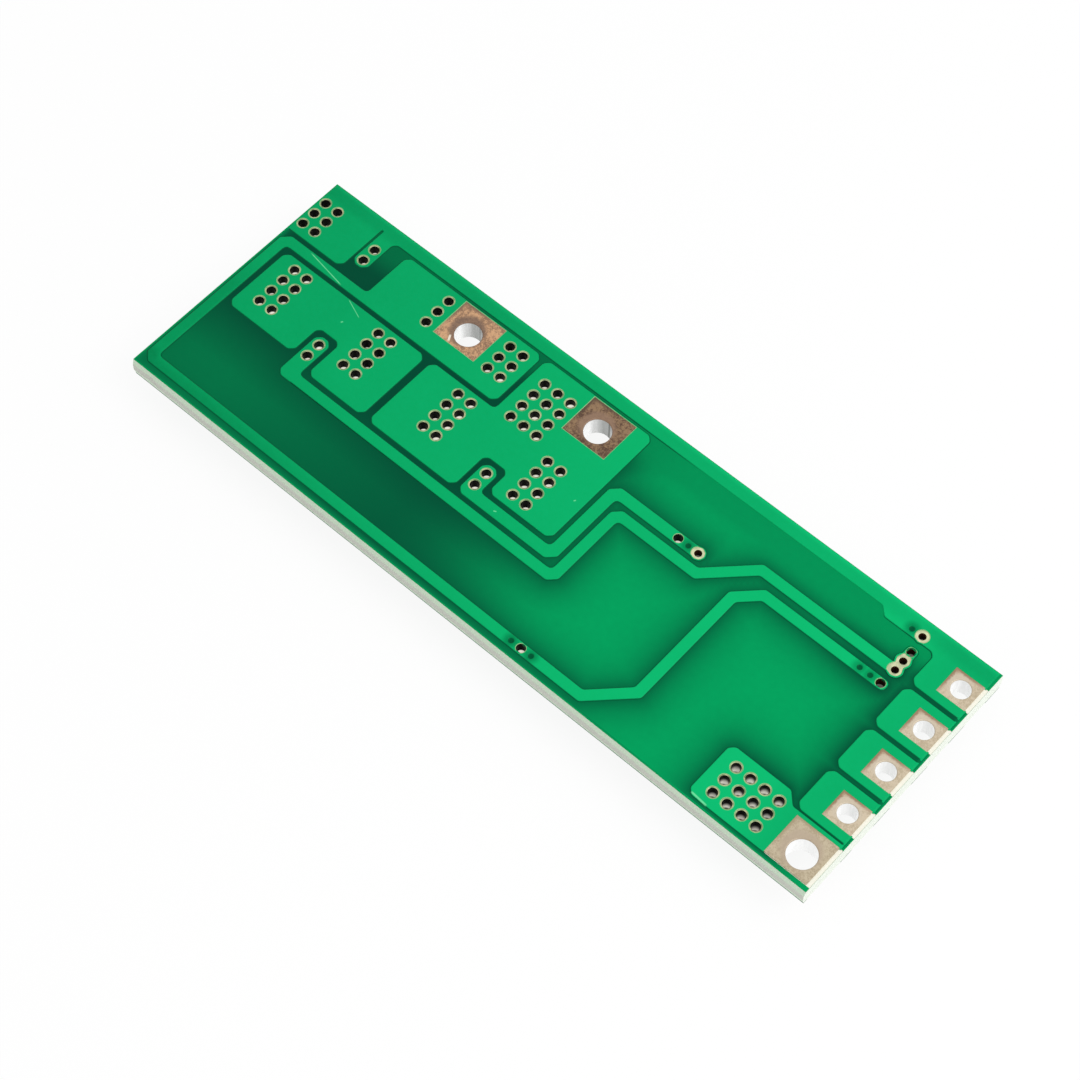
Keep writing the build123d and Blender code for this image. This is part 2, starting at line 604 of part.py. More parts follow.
def ic_case():
    """Moulded case of the protection IC, drafted from its middle."""
    outline, middle = Rectangle(IC_WIDTH, IC_LENGTH), (IC_STANDOFF + IC_HEIGHT) / 2
    case = raised(outline, middle - IC_STANDOFF, IC_STANDOFF)
    return case + extrude(Pos(0, 0, middle) * outline, IC_HEIGHT - middle, taper=CASE_DRAFT)


def ic_leads():
    """Two rows of gull-wing leads."""
    drop = (IC_STANDOFF + IC_HEIGHT + IC_LEAD_THICKNESS) / 2
    lead = gull_wing((IC_SPAN - IC_WIDTH) / 2, IC_FOOT, drop, IC_LEAD_THICKNESS, IC_LEAD_WIDTH)
    first = -(IC_PINS - 1) / 2 * IC_PITCH
    return Part() + [Rot(0, 0, turn) * Pos(first + i * IC_PITCH, -IC_WIDTH / 2) * lead
                     for turn in (90, -90) for i in range(IC_PINS)]


def balance_transistor():
    """Small moulded transistor on three flat leads."""
    case = raised(Rectangle(SOT_WIDTH, SOT_LENGTH), SOT_HEIGHT - SOT_STANDOFF, SOT_STANDOFF)
    near, reach, half = SOT_WIDTH / 2 - 0.05, SOT_SPAN / 2, SOT_LEAD_WIDTH / 2
    feet = block(-reach, -near, -half, half)
    feet += [block(near, reach, y - half, y + half) for y in (-SOT_PITCH, SOT_PITCH)]
    return case + raised(feet, SOT_LEAD_THICKNESS, 0)


def chip(length, width, height, terminal):
    """Ceramic chip with a metal terminal wrapped round each end."""
    body = raised(Rectangle(length, width - 2 * CHIP_COAT), height - 2 * CHIP_COAT, CHIP_COAT)
    end = (length - terminal) / 2
    return body + raised(patch(end, 0, terminal, width) + patch(-end, 0, terminal, width), height, 0)


def under(shape, x, y):
    """A part turned over and seated on the copper under the board."""
    return Pos(x, y, UNDER_COPPER) * Rot(0, 180, 0) * shape


def parts_under_board():
    """Every soldered part by name."""
    parts = {
        "protection_ic_case": under(ic_case(), IC_X, IC_Y),
        "protection_ic_leads": under(ic_leads(), IC_X, IC_Y),
        "sense_resistor": under(chip(*SHUNT_CHIP), SHUNT_X, SHUNT_Y),
    }
    for i, x in enumerate(MOSFET_X, 1):
        parts[f"mosfet_{i}_case"] = under(mosfet_case(), x, CASE_FRONT)
        parts[f"mosfet_{i}_lead_frame"] = under(mosfet_frame(), x, CASE_FRONT)
    for i, y in enumerate(CELL_ROWS, 1):
        parts[f"balance_resistor_{i}"] = under(chip(*BALANCE_CHIP), BALANCE_X, y)
        parts[f"balance_transistor_{i}"] = under(balance_transistor(), TRANSISTOR_X, y)
        parts[f"filter_capacitor_{i}"] = under(Rot(0, 0, 90) * chip(*CAPACITOR_CHIP), CAPACITOR_X, y)
    return parts


def main():
    os.makedirs("parts", exist_ok=True)
    centre = Pos(-BOARD_LENGTH / 2, -FACE_WIDTH / 2)
    nodes = {name: solder_side_copper(net) for name, net in NETS.items()}
    nodes.update({name: component_side_copper(outline) for name, outline in UNDER.items()})
    nodes["laminate"] = laminate()
    nodes["solder_mask_top"] = solder_mask_top()
    nodes["solder_mask_under"] = solder_mask_under()
    nodes.update(parts_under_board())
    for name, solid in nodes.items():
        export_step(centre * solid, f"parts/{name}.step")


main()
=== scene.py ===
import math

import bpy
import numpy as np
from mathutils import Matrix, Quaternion, Vector
from mathutils.geometry import delaunay_2d_cdt


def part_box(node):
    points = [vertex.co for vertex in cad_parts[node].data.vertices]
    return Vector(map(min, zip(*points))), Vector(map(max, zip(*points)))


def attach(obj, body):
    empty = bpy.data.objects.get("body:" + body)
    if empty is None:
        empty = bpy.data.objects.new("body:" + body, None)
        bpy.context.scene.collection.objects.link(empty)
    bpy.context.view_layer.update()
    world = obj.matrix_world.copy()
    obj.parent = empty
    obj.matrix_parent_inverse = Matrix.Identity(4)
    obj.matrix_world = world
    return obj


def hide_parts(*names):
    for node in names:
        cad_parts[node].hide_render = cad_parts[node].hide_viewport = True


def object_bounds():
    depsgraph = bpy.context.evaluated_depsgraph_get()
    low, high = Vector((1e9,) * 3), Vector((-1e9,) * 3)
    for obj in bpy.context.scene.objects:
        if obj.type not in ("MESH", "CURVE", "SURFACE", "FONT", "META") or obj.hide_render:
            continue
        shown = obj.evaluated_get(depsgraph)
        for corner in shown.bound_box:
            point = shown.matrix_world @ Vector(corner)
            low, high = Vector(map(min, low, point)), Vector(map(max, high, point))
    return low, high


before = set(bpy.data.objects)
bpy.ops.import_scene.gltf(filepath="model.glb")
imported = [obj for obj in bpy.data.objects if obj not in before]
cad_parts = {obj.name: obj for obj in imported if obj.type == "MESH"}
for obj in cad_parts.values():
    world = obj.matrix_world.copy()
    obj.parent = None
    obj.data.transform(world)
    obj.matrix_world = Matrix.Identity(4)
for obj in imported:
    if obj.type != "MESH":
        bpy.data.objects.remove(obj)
cad_low, cad_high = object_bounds()

# ---------------------------------------------------------------------------
# The laminate. Woven glass in epoxy, 1.6 mm thick, snapped out of its panel along scores that
# leave a sloped facet above and below and a torn web between them on the two long edges.
# Its drilled holes are a plating's thickness wider than the bores that are left in them.

MM = 0.001
FACE_LEVEL = 3.97  # millimetres, as every length below that is not passed to Blender
UNDER_LEVEL = 2.37
PLATING = 0.03
VIA_BORE = 0.31
ROUND = 24  # sides of a small round bore
WIDE_ROUND = 64  # sides of a wire hole
FEW_SIDES = 10  # a via's bore has fewer sides than this in the solids, a wire hole more
SCORE = 0.5
WEB_STEP = 0.1
TEAR = 0.05


def loops_at(node, level):
    """Outlines of the faces of a CAD node that lie in one level plane, as arrays of (x, y).

    An edge of one triangle only is a rim edge, and the rim edges are followed head to tail. The
    faces lie to the left of the way along, seen from the side that they face.
    """
    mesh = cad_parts[node].data
    points = np.empty(3 * len(mesh.vertices))
    mesh.vertices.foreach_get("co", points)
    corners = np.empty(3 * len(mesh.polygons), int)
    mesh.polygons.foreach_get("vertices", corners)
    points, merged = np.unique(np.round(points.reshape(-1, 3) / MM, 4), axis=0, return_inverse=True)
    faces = merged.ravel()[corners].reshape(-1, 3)
    faces = faces[np.all(abs(points[faces][:, :, 2] - level) < 0.002, axis=1)]
    edges = {(a, b) for a, b in np.vstack([faces[:, [0, 1]], faces[:, [1, 2]], faces[:, [2, 0]]]).tolist()}
    onward = {a: b for a, b in edges if (b, a) not in edges}
    found = []
    while onward:
        start, way = min(onward), []
        while start in onward:
            way.append(start)
            start = onward.pop(start)
        found.append(points[way][:, :2])
    return found


def area(loop):
    """Area inside an outline: half the sum of the cross products of neighbouring points."""
    x, y = loop.T
    return 0.5 * np.sum(x * np.roll(y, -1) - np.roll(x, -1) * y)


def middle(loop):
    return (loop.min(axis=0) + loop.max(axis=0)) / 2


def reach(loop):
    return np.hypot(*(loop - middle(loop)).T).max()


def ring(centre, radius, sides=ROUND, hole=True):
    """A circle's points, clockwise for a hole, so that the sheet is to the left of the way round."""
    turn = np.linspace(0, 2 * math.pi, sides, endpoint=False) * (-1 if hole else 1)
    return np.asarray(centre) + radius * np.column_stack([np.cos(turn), np.sin(turn)])


def rounded(loop, keep=()):
    """An outline with its corners eased, as etching leaves them.

    Each corner becomes four points of the curve p(t) = (1-t)^2 a + 2t(1-t) b + t^2 c, where b is
    the corner and a and c lie a cut away along its edges. Sharp turns get a longer cut, and the
    kept corners and the board's own corners get none. The short inner edge of a track's bend first
    gives way to the corner that its neighbours meet in.
    """
    edge = np.roll(loop, -1, axis=0) - loop
    long = np.hypot(*edge.T)
    way = edge / long[:, None]
    ahead, onward = np.roll(way, 1, axis=0), np.roll(way, -1, axis=0)
    between_long = (np.roll(long, 1) > 0.45) & (np.roll(long, -1) > 0.45)
    bend = (long < 0.3) & between_long & (abs((ahead * onward).sum(axis=1)) < 0.1)
    moved = loop + ahead * (edge * ahead).sum(axis=1)[:, None]
    loop = np.where(bend[:, None], moved, loop)[~np.roll(bend, 1)]
    before, after = np.roll(loop, 1, axis=0) - loop, np.roll(loop, -1, axis=0) - loop
    long_before, long_after = np.hypot(*before.T), np.hypot(*after.T)
    turn = -(before * after).sum(axis=1) / (long_before * long_after)
    cut = np.where(turn < 0.4, 0.4, np.where(turn < 0.95, 0.16, 0.03))
    cut = np.minimum(cut, 0.45 * np.minimum(long_before, long_after))
    for corner in keep:
        cut[np.hypot(*(loop - corner).T) < 0.12] = 0
    on_rim = (abs(loop[:, 0]) > 29.5) | (abs(loop[:, 1]) > 10.24)
    cut[on_rim] = 0
    a, c = loop + before * (cut / long_before)[:, None], loop + after * (cut / long_after)[:, None]
    t = np.linspace(0, 1, 4)[None, :, None]
    eased = ((1 - t) ** 2 * a[:, None] + 2 * t * (1 - t) * loop[:, None] + t**2 * c[:, None]).reshape(-1, 2)
    return eased[np.hypot(*(eased - np.roll(eased, 1, axis=0)).T) > 1e-3]


def inside(points, loops):
    """True where an odd number of outlines is crossed on the way from a point to the far right."""
    crossed = np.zeros(len(points), bool)
    x, y = points[:, 0:1], points[:, 1:2]
    for loop in loops:
        (ax, ay), (bx, by) = loop.T, np.roll(loop, -1, axis=0).T
        rise = np.where(by == ay, 1e-12, by - ay)
        crossed ^= (((ay > y) != (by > y)) & (x < ax + (bx - ax) * (y - ay) / rise)).sum(axis=1) % 2 == 1
    return crossed


def fill(loops, level, inner=None, down=False):
    """A flat net of triangles between outlines: a Delaunay net of their points and any inner ones
    that keeps every outline's edges, less the triangles whose middle is outside or in a hole."""
    flat = np.vstack(loops if inner is None else [*loops, inner])
    ends = np.cumsum([len(loop) for loop in loops])
    edges = [(i, i + 1) for i in range(ends[-1])]
    for start, end in zip([0, *ends], ends):
        edges[end - 1] = (int(end) - 1, int(start))
    net = delaunay_2d_cdt([Vector(p) for p in flat], edges, [], 0, 1e-5)
    flat, faces = np.array(net[0]), np.array(net[2])
    faces = faces[inside(flat[faces].mean(axis=1), loops)]
    (ax, ay), (bx, by), (cx, cy) = flat[faces].transpose(1, 2, 0)
    wrong = ((bx - ax) * (cy - ay) - (cx - ax) * (by - ay) < 0) != down
    faces[wrong] = faces[wrong][:, ::-1]
    return np.column_stack([flat, np.full(len(flat), level)]), faces


def carried(loop, profile):
    """A profile of (distance into the sheet, level) carried round an outline with mitred corners.

    Each corner moves along the sum of its two edge normals, longer by the inverse of half that
    sum's squared length, so both edges keep the profile's distance. The profile runs upwards.
    """
    edge = np.roll(loop, -1, axis=0) - loop
    edge /= np.hypot(*edge.T)[:, None]
    normal = np.column_stack([-edge[:, 1], edge[:, 0]])
    both = normal + np.roll(normal, 1, axis=0)
    mitre = both / np.maximum(0.5 * (both**2).sum(axis=1), 0.4)[:, None]
    away, level = np.array(profile, float).T
    rows = loop[None] + mitre[None] * away[:, None, None]
    points = np.concatenate([rows, np.broadcast_to(level[:, None, None], (*rows.shape[:2], 1))], axis=2)
    here = np.arange(len(profile) * len(loop)).reshape(len(profile), len(loop))
    there = np.roll(here, -1, axis=1)
    quads = np.stack([here[:-1], there[:-1], there[1:], here[1:]], axis=2)
    return points.reshape(-1, 3), quads.reshape(-1, 4)


def woven(rows):
    """Quads between the neighbouring points of a grid that is given as its rows of points."""
    here = np.arange(rows.shape[0] * rows.shape[1]).reshape(rows.shape[:2])
    quads = np.stack([here[:-1, :-1], here[:-1, 1:], here[1:, 1:], here[1:, :-1]], axis=2)
    return rows.reshape(-1, 3), quads.reshape(-1, 4)


def piece(name, parts, slot, *stands_for, shares=None):
    """One mesh of (points, faces, finish) parts, in millimetres, that rides on the board.

    shares are values at the points of all parts in turn, for the finish to read as "share".
    """
    starts = np.cumsum([0, *[len(points) for points, _, _ in parts]])
    finishes = list(dict.fromkeys(finish for _, _, finish in parts))
    mesh = bpy.data.meshes.new(name)
    faces = [
        face for (_, net, _), start in zip(parts, starts) for face in (np.asarray(net) + start).tolist()
    ]
    mesh.from_pydata(np.vstack([points for points, _, _ in parts]) * MM, [], faces)
    for finish in finishes:
        mesh.materials.append(finish.material)
    slots = np.repeat([finishes.index(finish) for _, _, finish in parts], [len(net) for _, net, _ in parts])
    mesh.polygons.foreach_set("material_index", slots)
    mesh.polygons.foreach_set("use_smooth", np.ones(len(faces), bool))
    if shares is not None:
        mesh.attributes.new("share", "FLOAT", "POINT").data.foreach_set("value", shares.astype(np.float32))
    mesh.update()
    made = bpy.data.objects.new(name, mesh)
    bpy.context.scene.collection.objects.link(made)
    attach(made, "root")
    if stands_for:
        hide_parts(*stands_for)


def paint(red, green, blue):
    """A colour given as it looks on a screen, 0 to 255, as the light that the shader works in."""
    share = np.array([red, green, blue]) / 255
    light = np.where(share <= 0.04045, share / 12.92, ((share + 0.055) / 1.055) ** 2.4)
    return (*light.tolist(), 1.0)


class Value:
    """A number that varies over a surface: a node's socket that takes part in plain arithmetic."""

    def __init__(self, tree, socket):
        self.tree, self.socket = tree, socket

    def math(self, operation, other=None, swapped=False):
        node = self.tree.nodes.new("ShaderNodeMath")
        node.operation = operation
        terms = [self] if other is None else [other, self] if swapped else [self, other]
        for socket, term in zip(node.inputs, terms):
            if isinstance(term, Value):
                self.tree.links.new(term.socket, socket)
            else:
                socket.default_value = term
        return Value(self.tree, node.outputs[0])

    def __add__(self, other):
        return self.math("ADD", other)

    def __radd__(self, other):
        return self.math("ADD", other, swapped=True)

    def __sub__(self, other):
        return self.math("SUBTRACT", other)

    def __rsub__(self, other):
        return self.math("SUBTRACT", other, swapped=True)

    def __mul__(self, other):
        return self.math("MULTIPLY", other)

    def __rmul__(self, other):
        return self.math("MULTIPLY", other, swapped=True)

    def __truediv__(self, other):
        return self.math("DIVIDE", other)

    def __rtruediv__(self, other):
        return self.math("DIVIDE", other, swapped=True)

    def __pow__(self, other):
        return self.math("POWER", other)

    def __abs__(self):
        return self.math("ABSOLUTE")


class Finish:
    """A procedural material: one Principled shader and the nodes that feed it."""

    def __init__(self, name, **constants):
        self.material = bpy.data.materials.new(name)
        self.material.use_nodes = True
        self.tree = self.material.node_tree
        self.shader = self.tree.nodes["Principled BSDF"]
        for socket, value in constants.items():
            self.shader.inputs[socket.replace("_", " ")].default_value = value
        self.place = self.node("ShaderNodeTexCoord", output="Object")
        axes = self.node("ShaderNodeSeparateXYZ", sockets={"Vector": self.place}).socket.node
        self.x, self.y, self.z = (Value(self.tree, socket) / MM for socket in axes.outputs)

    def node(self, kind, settings=None, sockets=None, output=0):
        """Any node: its type, its settings, the values or links of its sockets, and its output."""
        node = self.tree.nodes.new(kind)
        for key, value in (settings or {}).items():
            setattr(node, key, value)
        for key, value in (sockets or {}).items():
            if isinstance(value, Value):
                self.tree.links.new(value.socket, node.inputs[key])
            else:
                node.inputs[key].default_value = value
        return Value(self.tree, node.outputs[output])

    def noise(self, size, detail=2.0, stretch=(1, 1, 1)):
        """Cloudy noise whose patches are about size millimetres across, longer by the stretch."""
        scale = [1 / factor for factor in stretch]
        sockets = {"Vector": self.place, "Scale": scale}
        place = self.node("ShaderNodeMapping", {"vector_type": "POINT"}, sockets)
        sockets = {"Vector": place, "Scale": 1 / (size * MM), "Detail": detail}
        return self.node("ShaderNodeTexNoise", None, sockets)

    def step(self, value, low, high):
        """0 below low, 1 above high, and a soft step between them."""
        sockets = {"Value": value, "From Min": low, "From Max": high}
        return self.node("ShaderNodeMapRange", {"interpolation_type": "SMOOTHSTEP"}, sockets)

    def mix(self, share, one, other):
        return self.node("ShaderNodeMix", {"data_type": "RGBA"}, {0: share, 6: one, 7: other}, output=2)

    def bump(self, height, depth):
        """A Normal from a height of 0 to 1 that stands for depth millimetres."""
        return self.node("ShaderNodeBump", None, {"Height": height, "Distance": depth * MM})

    def feed(self, **sockets):
        for key, value in sockets.items():
            self.tree.links.new(value.socket, self.shader.inputs[key.replace("_", " ")])


def torn_edge(side, seed):
    """One long edge from the upper face to the lower one, on a grid of place along and level.

    The half width grows in a straight line down each score facet. Over the web it is the full
    half width less a roughness: smoothed random numbers, deeper in a few chips near the left end.
    """
    along = np.arange(cad_low.x / MM, cad_high.x / MM + WEB_STEP / 2, WEB_STEP)
    level = np.concatenate([
        np.linspace(FACE_LEVEL, FACE_LEVEL - SCORE, 4)[:-1],
        np.linspace(FACE_LEVEL - SCORE, UNDER_LEVEL + SCORE, 7),
        np.linspace(UNDER_LEVEL + SCORE, UNDER_LEVEL, 4)[1:],
    ])
    face = loops_at("laminate", FACE_LEVEL)
    half = max(abs(loop[:, 1]).max() for loop in face)
    full = cad_high.y / MM
    facet = np.clip(np.minimum(FACE_LEVEL - level, level - UNDER_LEVEL) / SCORE, 0, 1)
    random = np.random.default_rng(seed).random((len(along), len(level)))
    rough = (random + np.roll(random, 1, axis=0) + np.roll(random, 1, axis=1)) / 3
    chip = np.exp(-((along[:, None] + 28.4) ** 2) / 0.5) + 0.5 * np.exp(-((along[:, None] + 25.9) ** 2) / 0.1)
    depth = TEAR * rough * facet + (0.1 * chip * rough * facet if side < 0 else 0)
    out = half + (full - half) * facet - depth
    across, high = np.meshgrid(along, level, indexing="ij")
    rows = np.stack([across, side * out, high], axis=2)
    return rows if side < 0 else rows[::-1]


bare_board = Finish("bare_board", Roughness=0.62)
layers = bare_board.noise(0.09, 3, stretch=(60, 60, 1))
fibres = bare_board.noise(0.12, 3, stretch=(1, 1, 5))
facet = abs(bare_board.z - (FACE_LEVEL + UNDER_LEVEL) / 2)
web = bare_board.mix(layers, paint(182, 188, 176), paint(216, 218, 207))
scored = bare_board.mix(fibres, paint(192, 218, 192), paint(216, 230, 208))
long_side = bare_board.mix(bare_board.step(facet, 0.25, 0.42), web, scored)
short_side = bare_board.mix(layers, paint(222, 232, 216), paint(244, 247, 240))
side_face = bare_board.mix(bare_board.step(abs(bare_board.x), 29.97, 29.99), long_side, short_side)
top_face = bare_board.mix(fibres, paint(240, 237, 218), paint(253, 251, 240))
bare_board.feed(
    Base_Color=bare_board.mix(bare_board.step(facet, 0.775, 0.795), side_face, top_face),
    Normal=bare_board.bump(fibres * 0.6 + layers * 0.4, 0.03),
)

bores = [loop for loop in loops_at("laminate", FACE_LEVEL) if area(loop) < 0]
board_face = [loop for loop in loops_at("laminate", FACE_LEVEL) if area(loop) > 0][0]
drilled = [
    ring(middle(bore), VIA_BORE + PLATING, ROUND) if len(bore) < FEW_SIDES
    else ring(middle(bore), reach(bore) + PLATING, WIDE_ROUND)
    for bore in bores
]
front, back = torn_edge(-1, 3), torn_edge(1, 5)
section = np.vstack([front[0], back[-1][::-1]])
ends = [(section + [x - section[0, 0], 0, 0], [list(range(len(section)))[::turn]])
        for x, turn in ((cad_low.x / MM, -1), (cad_high.x / MM, 1))]
piece(
    "board_laminate",
    [
        (*fill([board_face, *drilled], FACE_LEVEL), bare_board),
        (*fill([board_face, *drilled], UNDER_LEVEL, down=True), bare_board),
        *[(*woven(rows), bare_board) for rows in (front, back)],
        *[(points, faces, bare_board) for points, faces in ends],
        *[(*carried(loop, [(0, UNDER_LEVEL), (0, FACE_LEVEL)]), bare_board) for loop in drilled],
    ],
    "laminate",
    "laminate",
)

# ---------------------------------------------------------------------------
# The solder-side copper. Rolled foil etched into pours and tracks, drilled and plated through.
# Only the via rings and the wire pads show, tarnished, round bores plated down to the far side.

COPPER_LEVEL = 4.04
LAND_LEVEL = 2.30  # outer face of the component side's copper
BLIND = 2.39  # the far ink closes the vias just above it
RING_LAND = 0.42
LIP_WIDTH, LIP_DEPTH = 0.08, 0.07
DIP_ROOM = 0.34  # radius that the foil leaves free for the dip of a plugged via

RING_DARK, RING_PALE = paint(98, 126, 76), paint(194, 198, 150)


def ring_tone(finish):
    """Cream-gold of the via rings, mottled dark, and palest in the group at the back right."""
    tone = finish.mix(finish.step(finish.noise(0.45), 0.35, 0.65), RING_DARK, RING_PALE)
    thick = finish.step(finish.x, 8.5, 8.7) * finish.step(finish.y, 3.2, 3.4)
    return finish.mix(0.5 * thick, tone, paint(232, 232, 192))


gold_ring = Finish("gold_ring", Roughness=0.4, Metallic=0.2)
gold_ring.feed(
    Base_Color=ring_tone(gold_ring),
    Normal=gold_ring.bump(gold_ring.noise(0.1), 0.01),
)

# Painted light and shade in the via bores: the upper bore is painted near-black as shade. Below a depth that
# varies from via to via, the wall is pale and glows by emission, as painted light from the table below. In the
# group at the front right the glow starts higher and fades in more softly. In the group at the back right the
# bore is browner and barely glows. Towards the closed bottom the painted shade returns.
via_wall = Finish("via_wall", Roughness=0.5, Specular_IOR_Level=0.1, Emission_Strength=1.0)
corner_group = via_wall.step(via_wall.x, 20.0, 20.5) * (1 - via_wall.step(via_wall.y, -5.4, -5.0))
lit_from = 0.74 - 0.34 * corner_group + 0.5 * (via_wall.noise(2.3, 0) - 0.5)
brown = via_wall.step(via_wall.x, 8.5, 8.7) * via_wall.step(via_wall.y, 3.2, 3.4)
down = COPPER_LEVEL - via_wall.z
lit = via_wall.step(down - lit_from, 0.0, 0.1 + 0.7 * corner_group) * (1 - 0.85 * brown)
lit = lit * (1 - via_wall.step(down, 1.05, 1.4))
shade = via_wall.mix(brown, paint(2, 6, 3), paint(52, 26, 12))
glow_strength = lit * (0.5 + 0.6 * via_wall.noise(0.3) - 0.2 * corner_group)
via_wall.feed(
    Base_Color=via_wall.mix(lit, shade, paint(150, 148, 136)),
    Emission_Color=via_wall.mix(glow_strength, paint(0, 0, 0), paint(232, 228, 216)),
)

# Painted light and shade on the wire-hole walls: walls that face the front are painted grey as shade, and the
# two holes at the left get a painted dark streak on that wall. The other walls glow a little by emission, as
# painted light from the table below. The painted shade is weaker in the holes at the right end, and weakest at
# the front right. The streaks along the bore are the plating's own.
wire_wall = Finish("wire_wall", Roughness=0.35, Metallic=0.9, Emission_Strength=1.0)
streaks = wire_wall.noise(0.16, 3, stretch=(1, 1, 12))
normal = wire_wall.node("ShaderNodeNewGeometry", output="Normal")
facing = wire_wall.node("ShaderNodeSeparateXYZ", sockets={"Vector": normal}).socket.node
across_bore, to_back = (Value(wire_wall.tree, socket) for socket in facing.outputs[:2])
to_front = 0 - to_back
wear_and_shade = 1 - wire_wall.step(wire_wall.x, 5, 20) * (0.7 + 0.15 * (1 - wire_wall.step(wire_wall.y, -7.5, -6.5)))
painted_wall_shade = (0.55 * wire_wall.step(to_front, 0.2, 0.7) + 0.45 * wire_wall.step(to_front, 0.7, 1.0)) * wear_and_shade
painted_shade_streak = (1 - wire_wall.step(abs(across_bore + 0.24), 0.05, 0.12)) * wire_wall.step(to_front, 0.5, 0.8)
painted_shade_streak = painted_shade_streak * (1 - wire_wall.step(wire_wall.x, 0, 5))
painted_shade_streak = painted_shade_streak * (0.45 + 0.4 * wire_wall.step(wire_wall.x, -10, -5))
metal_tone = wire_wall.mix(streaks * 0.3 + painted_wall_shade * 0.85, paint(255, 255, 255), paint(172, 174, 172))
wire_wall.feed(
    Base_Color=wire_wall.mix(painted_shade_streak, metal_tone, paint(96, 98, 92)),
    Emission_Color=wire_wall.mix(1 - painted_wall_shade, paint(0, 0, 0), paint(104, 104, 104)),
    Normal=wire_wall.bump(streaks, 0.02),
)


def tarnished(name, hole, radius, pad, clean, dull, dark, round_bore, fleck=None):
    """Bare copper of one wire pad, cream-gold outside the pad where only the via rings show.

    Cloudy noise mixes the clean and the dull colour with a fine speckle. A stain lies round
    the bore, wider above and to the left, and a dark one in the opening's upper left corner,
    from where it thins out along both edges.
    """
    metal = Finish(name, Roughness=0.42, Metallic=0.15)
    (left, front), (right, back) = pad
    x, y = metal.x, metal.y
    clouds, speckle, grain = metal.noise(0.9, 4), metal.noise(0.22, 2), metal.noise(0.08, 2)
    away = ((x - hole[0] + 0.22) ** 2 + (y - hole[1] - 0.16) ** 2) ** 0.5 - radius + 0.5 * (clouds - 0.5)
    round_hole = 1 - metal.step(away, 0.12 * radius, 0.5 * radius)
    corner = (x - left + back - y) * 0.7 + 0.4 * (clouds - 0.5)
    body = metal.mix(metal.step(clouds + 1.1 * (speckle - 0.5) + 1.2 * (grain - 0.5), 0.25, 0.8), clean, dull)
    body = metal.mix(round_hole * 0.8, body, round_bore)
    from_edge = (x - left).math("MINIMUM", back - y) + 0.25 * (speckle - 0.5)
    edge = (1 - metal.step(from_edge, 0.06, 0.28)) * (1 - metal.step(corner, 0.8, 2.2))
    body = metal.mix((1 - metal.step(corner, 0.05, 0.6)).math("MAXIMUM", edge) * 0.85, body, dark)
    outside = abs(x - (left + right) / 2) - (right - left) / 2
    outside = outside.math("MAXIMUM", abs(y - (front + back) / 2) - (back - front) / 2)
    rings = ring_tone(metal)
    if fleck is not None:
        slant = 0.9 * (x - hole[0]) + 0.44 * (y - hole[1])
        cross = 0.44 * (x - hole[0]) - 0.9 * (y - hole[1])
        bright = 1 - metal.step(abs(slant - fleck[0]), 0.05, 0.1)
        bright = bright * (1 - metal.step(abs(cross - fleck[1]), 0.15, 0.35))
        body = metal.mix(bright, body, paint(236, 226, 206))
    metal.feed(
        Base_Color=metal.mix(metal.step(outside, 0.05, 0.06), body, rings),
        Roughness=0.32 + 0.3 * clouds,
        Normal=metal.bump(0.5 * speckle + 0.5 * grain, 0.02),
    )
    return metal


PEACH = [paint(208, 162, 120), paint(142, 108, 82), paint(118, 92, 72), paint(112, 88, 74)]
RUSSET = [paint(144, 114, 82), paint(82, 54, 36), paint(78, 58, 40), paint(144, 114, 92)]
TAN = [paint(206, 190, 164), paint(184, 168, 140), paint(140, 104, 72), paint(204, 190, 168)]
SAND = [paint(194, 180, 152), paint(170, 154, 126), paint(160, 144, 112), paint(180, 162, 140)]
FACE_MIDDLE = [30, 10.25]  # from the front left corner of the face, as the places below
TENTED_AT = np.array(
    [[34.4, 0.98], [36.14, 0.98], [38.42, 14.25], [52.66, 14.7], [53.53, 14.7], [53.46, 19.25]]
) - FACE_MIDDLE
PLAIN_AT = np.array([[35.27, 0.98], [37.55, 14.25], [54.4, 14.7], [54.5, 17.84]]) - FACE_MIDDLE

# The bare part of a wire pad: its size, and how far its middle lies from the hole's.
MIDDLE_PAD = (3.75, 3.43), (-0.1, 0.28)
TAP_PAD = (2.6, 2.25), (0.12, 0.0)
CORNER_PAD = (3.73, 3.4), (-0.065, 0.2)


def via_radius(at):
    """Half the width of a via's bore: the thickly plated ones at the back right are narrower."""
    thick = at[0] > 8.6 and at[1] > 3.3 and np.hypot(*(PLAIN_AT - at).T).min() > 0.2
    return 0.24 if thick else VIA_BORE


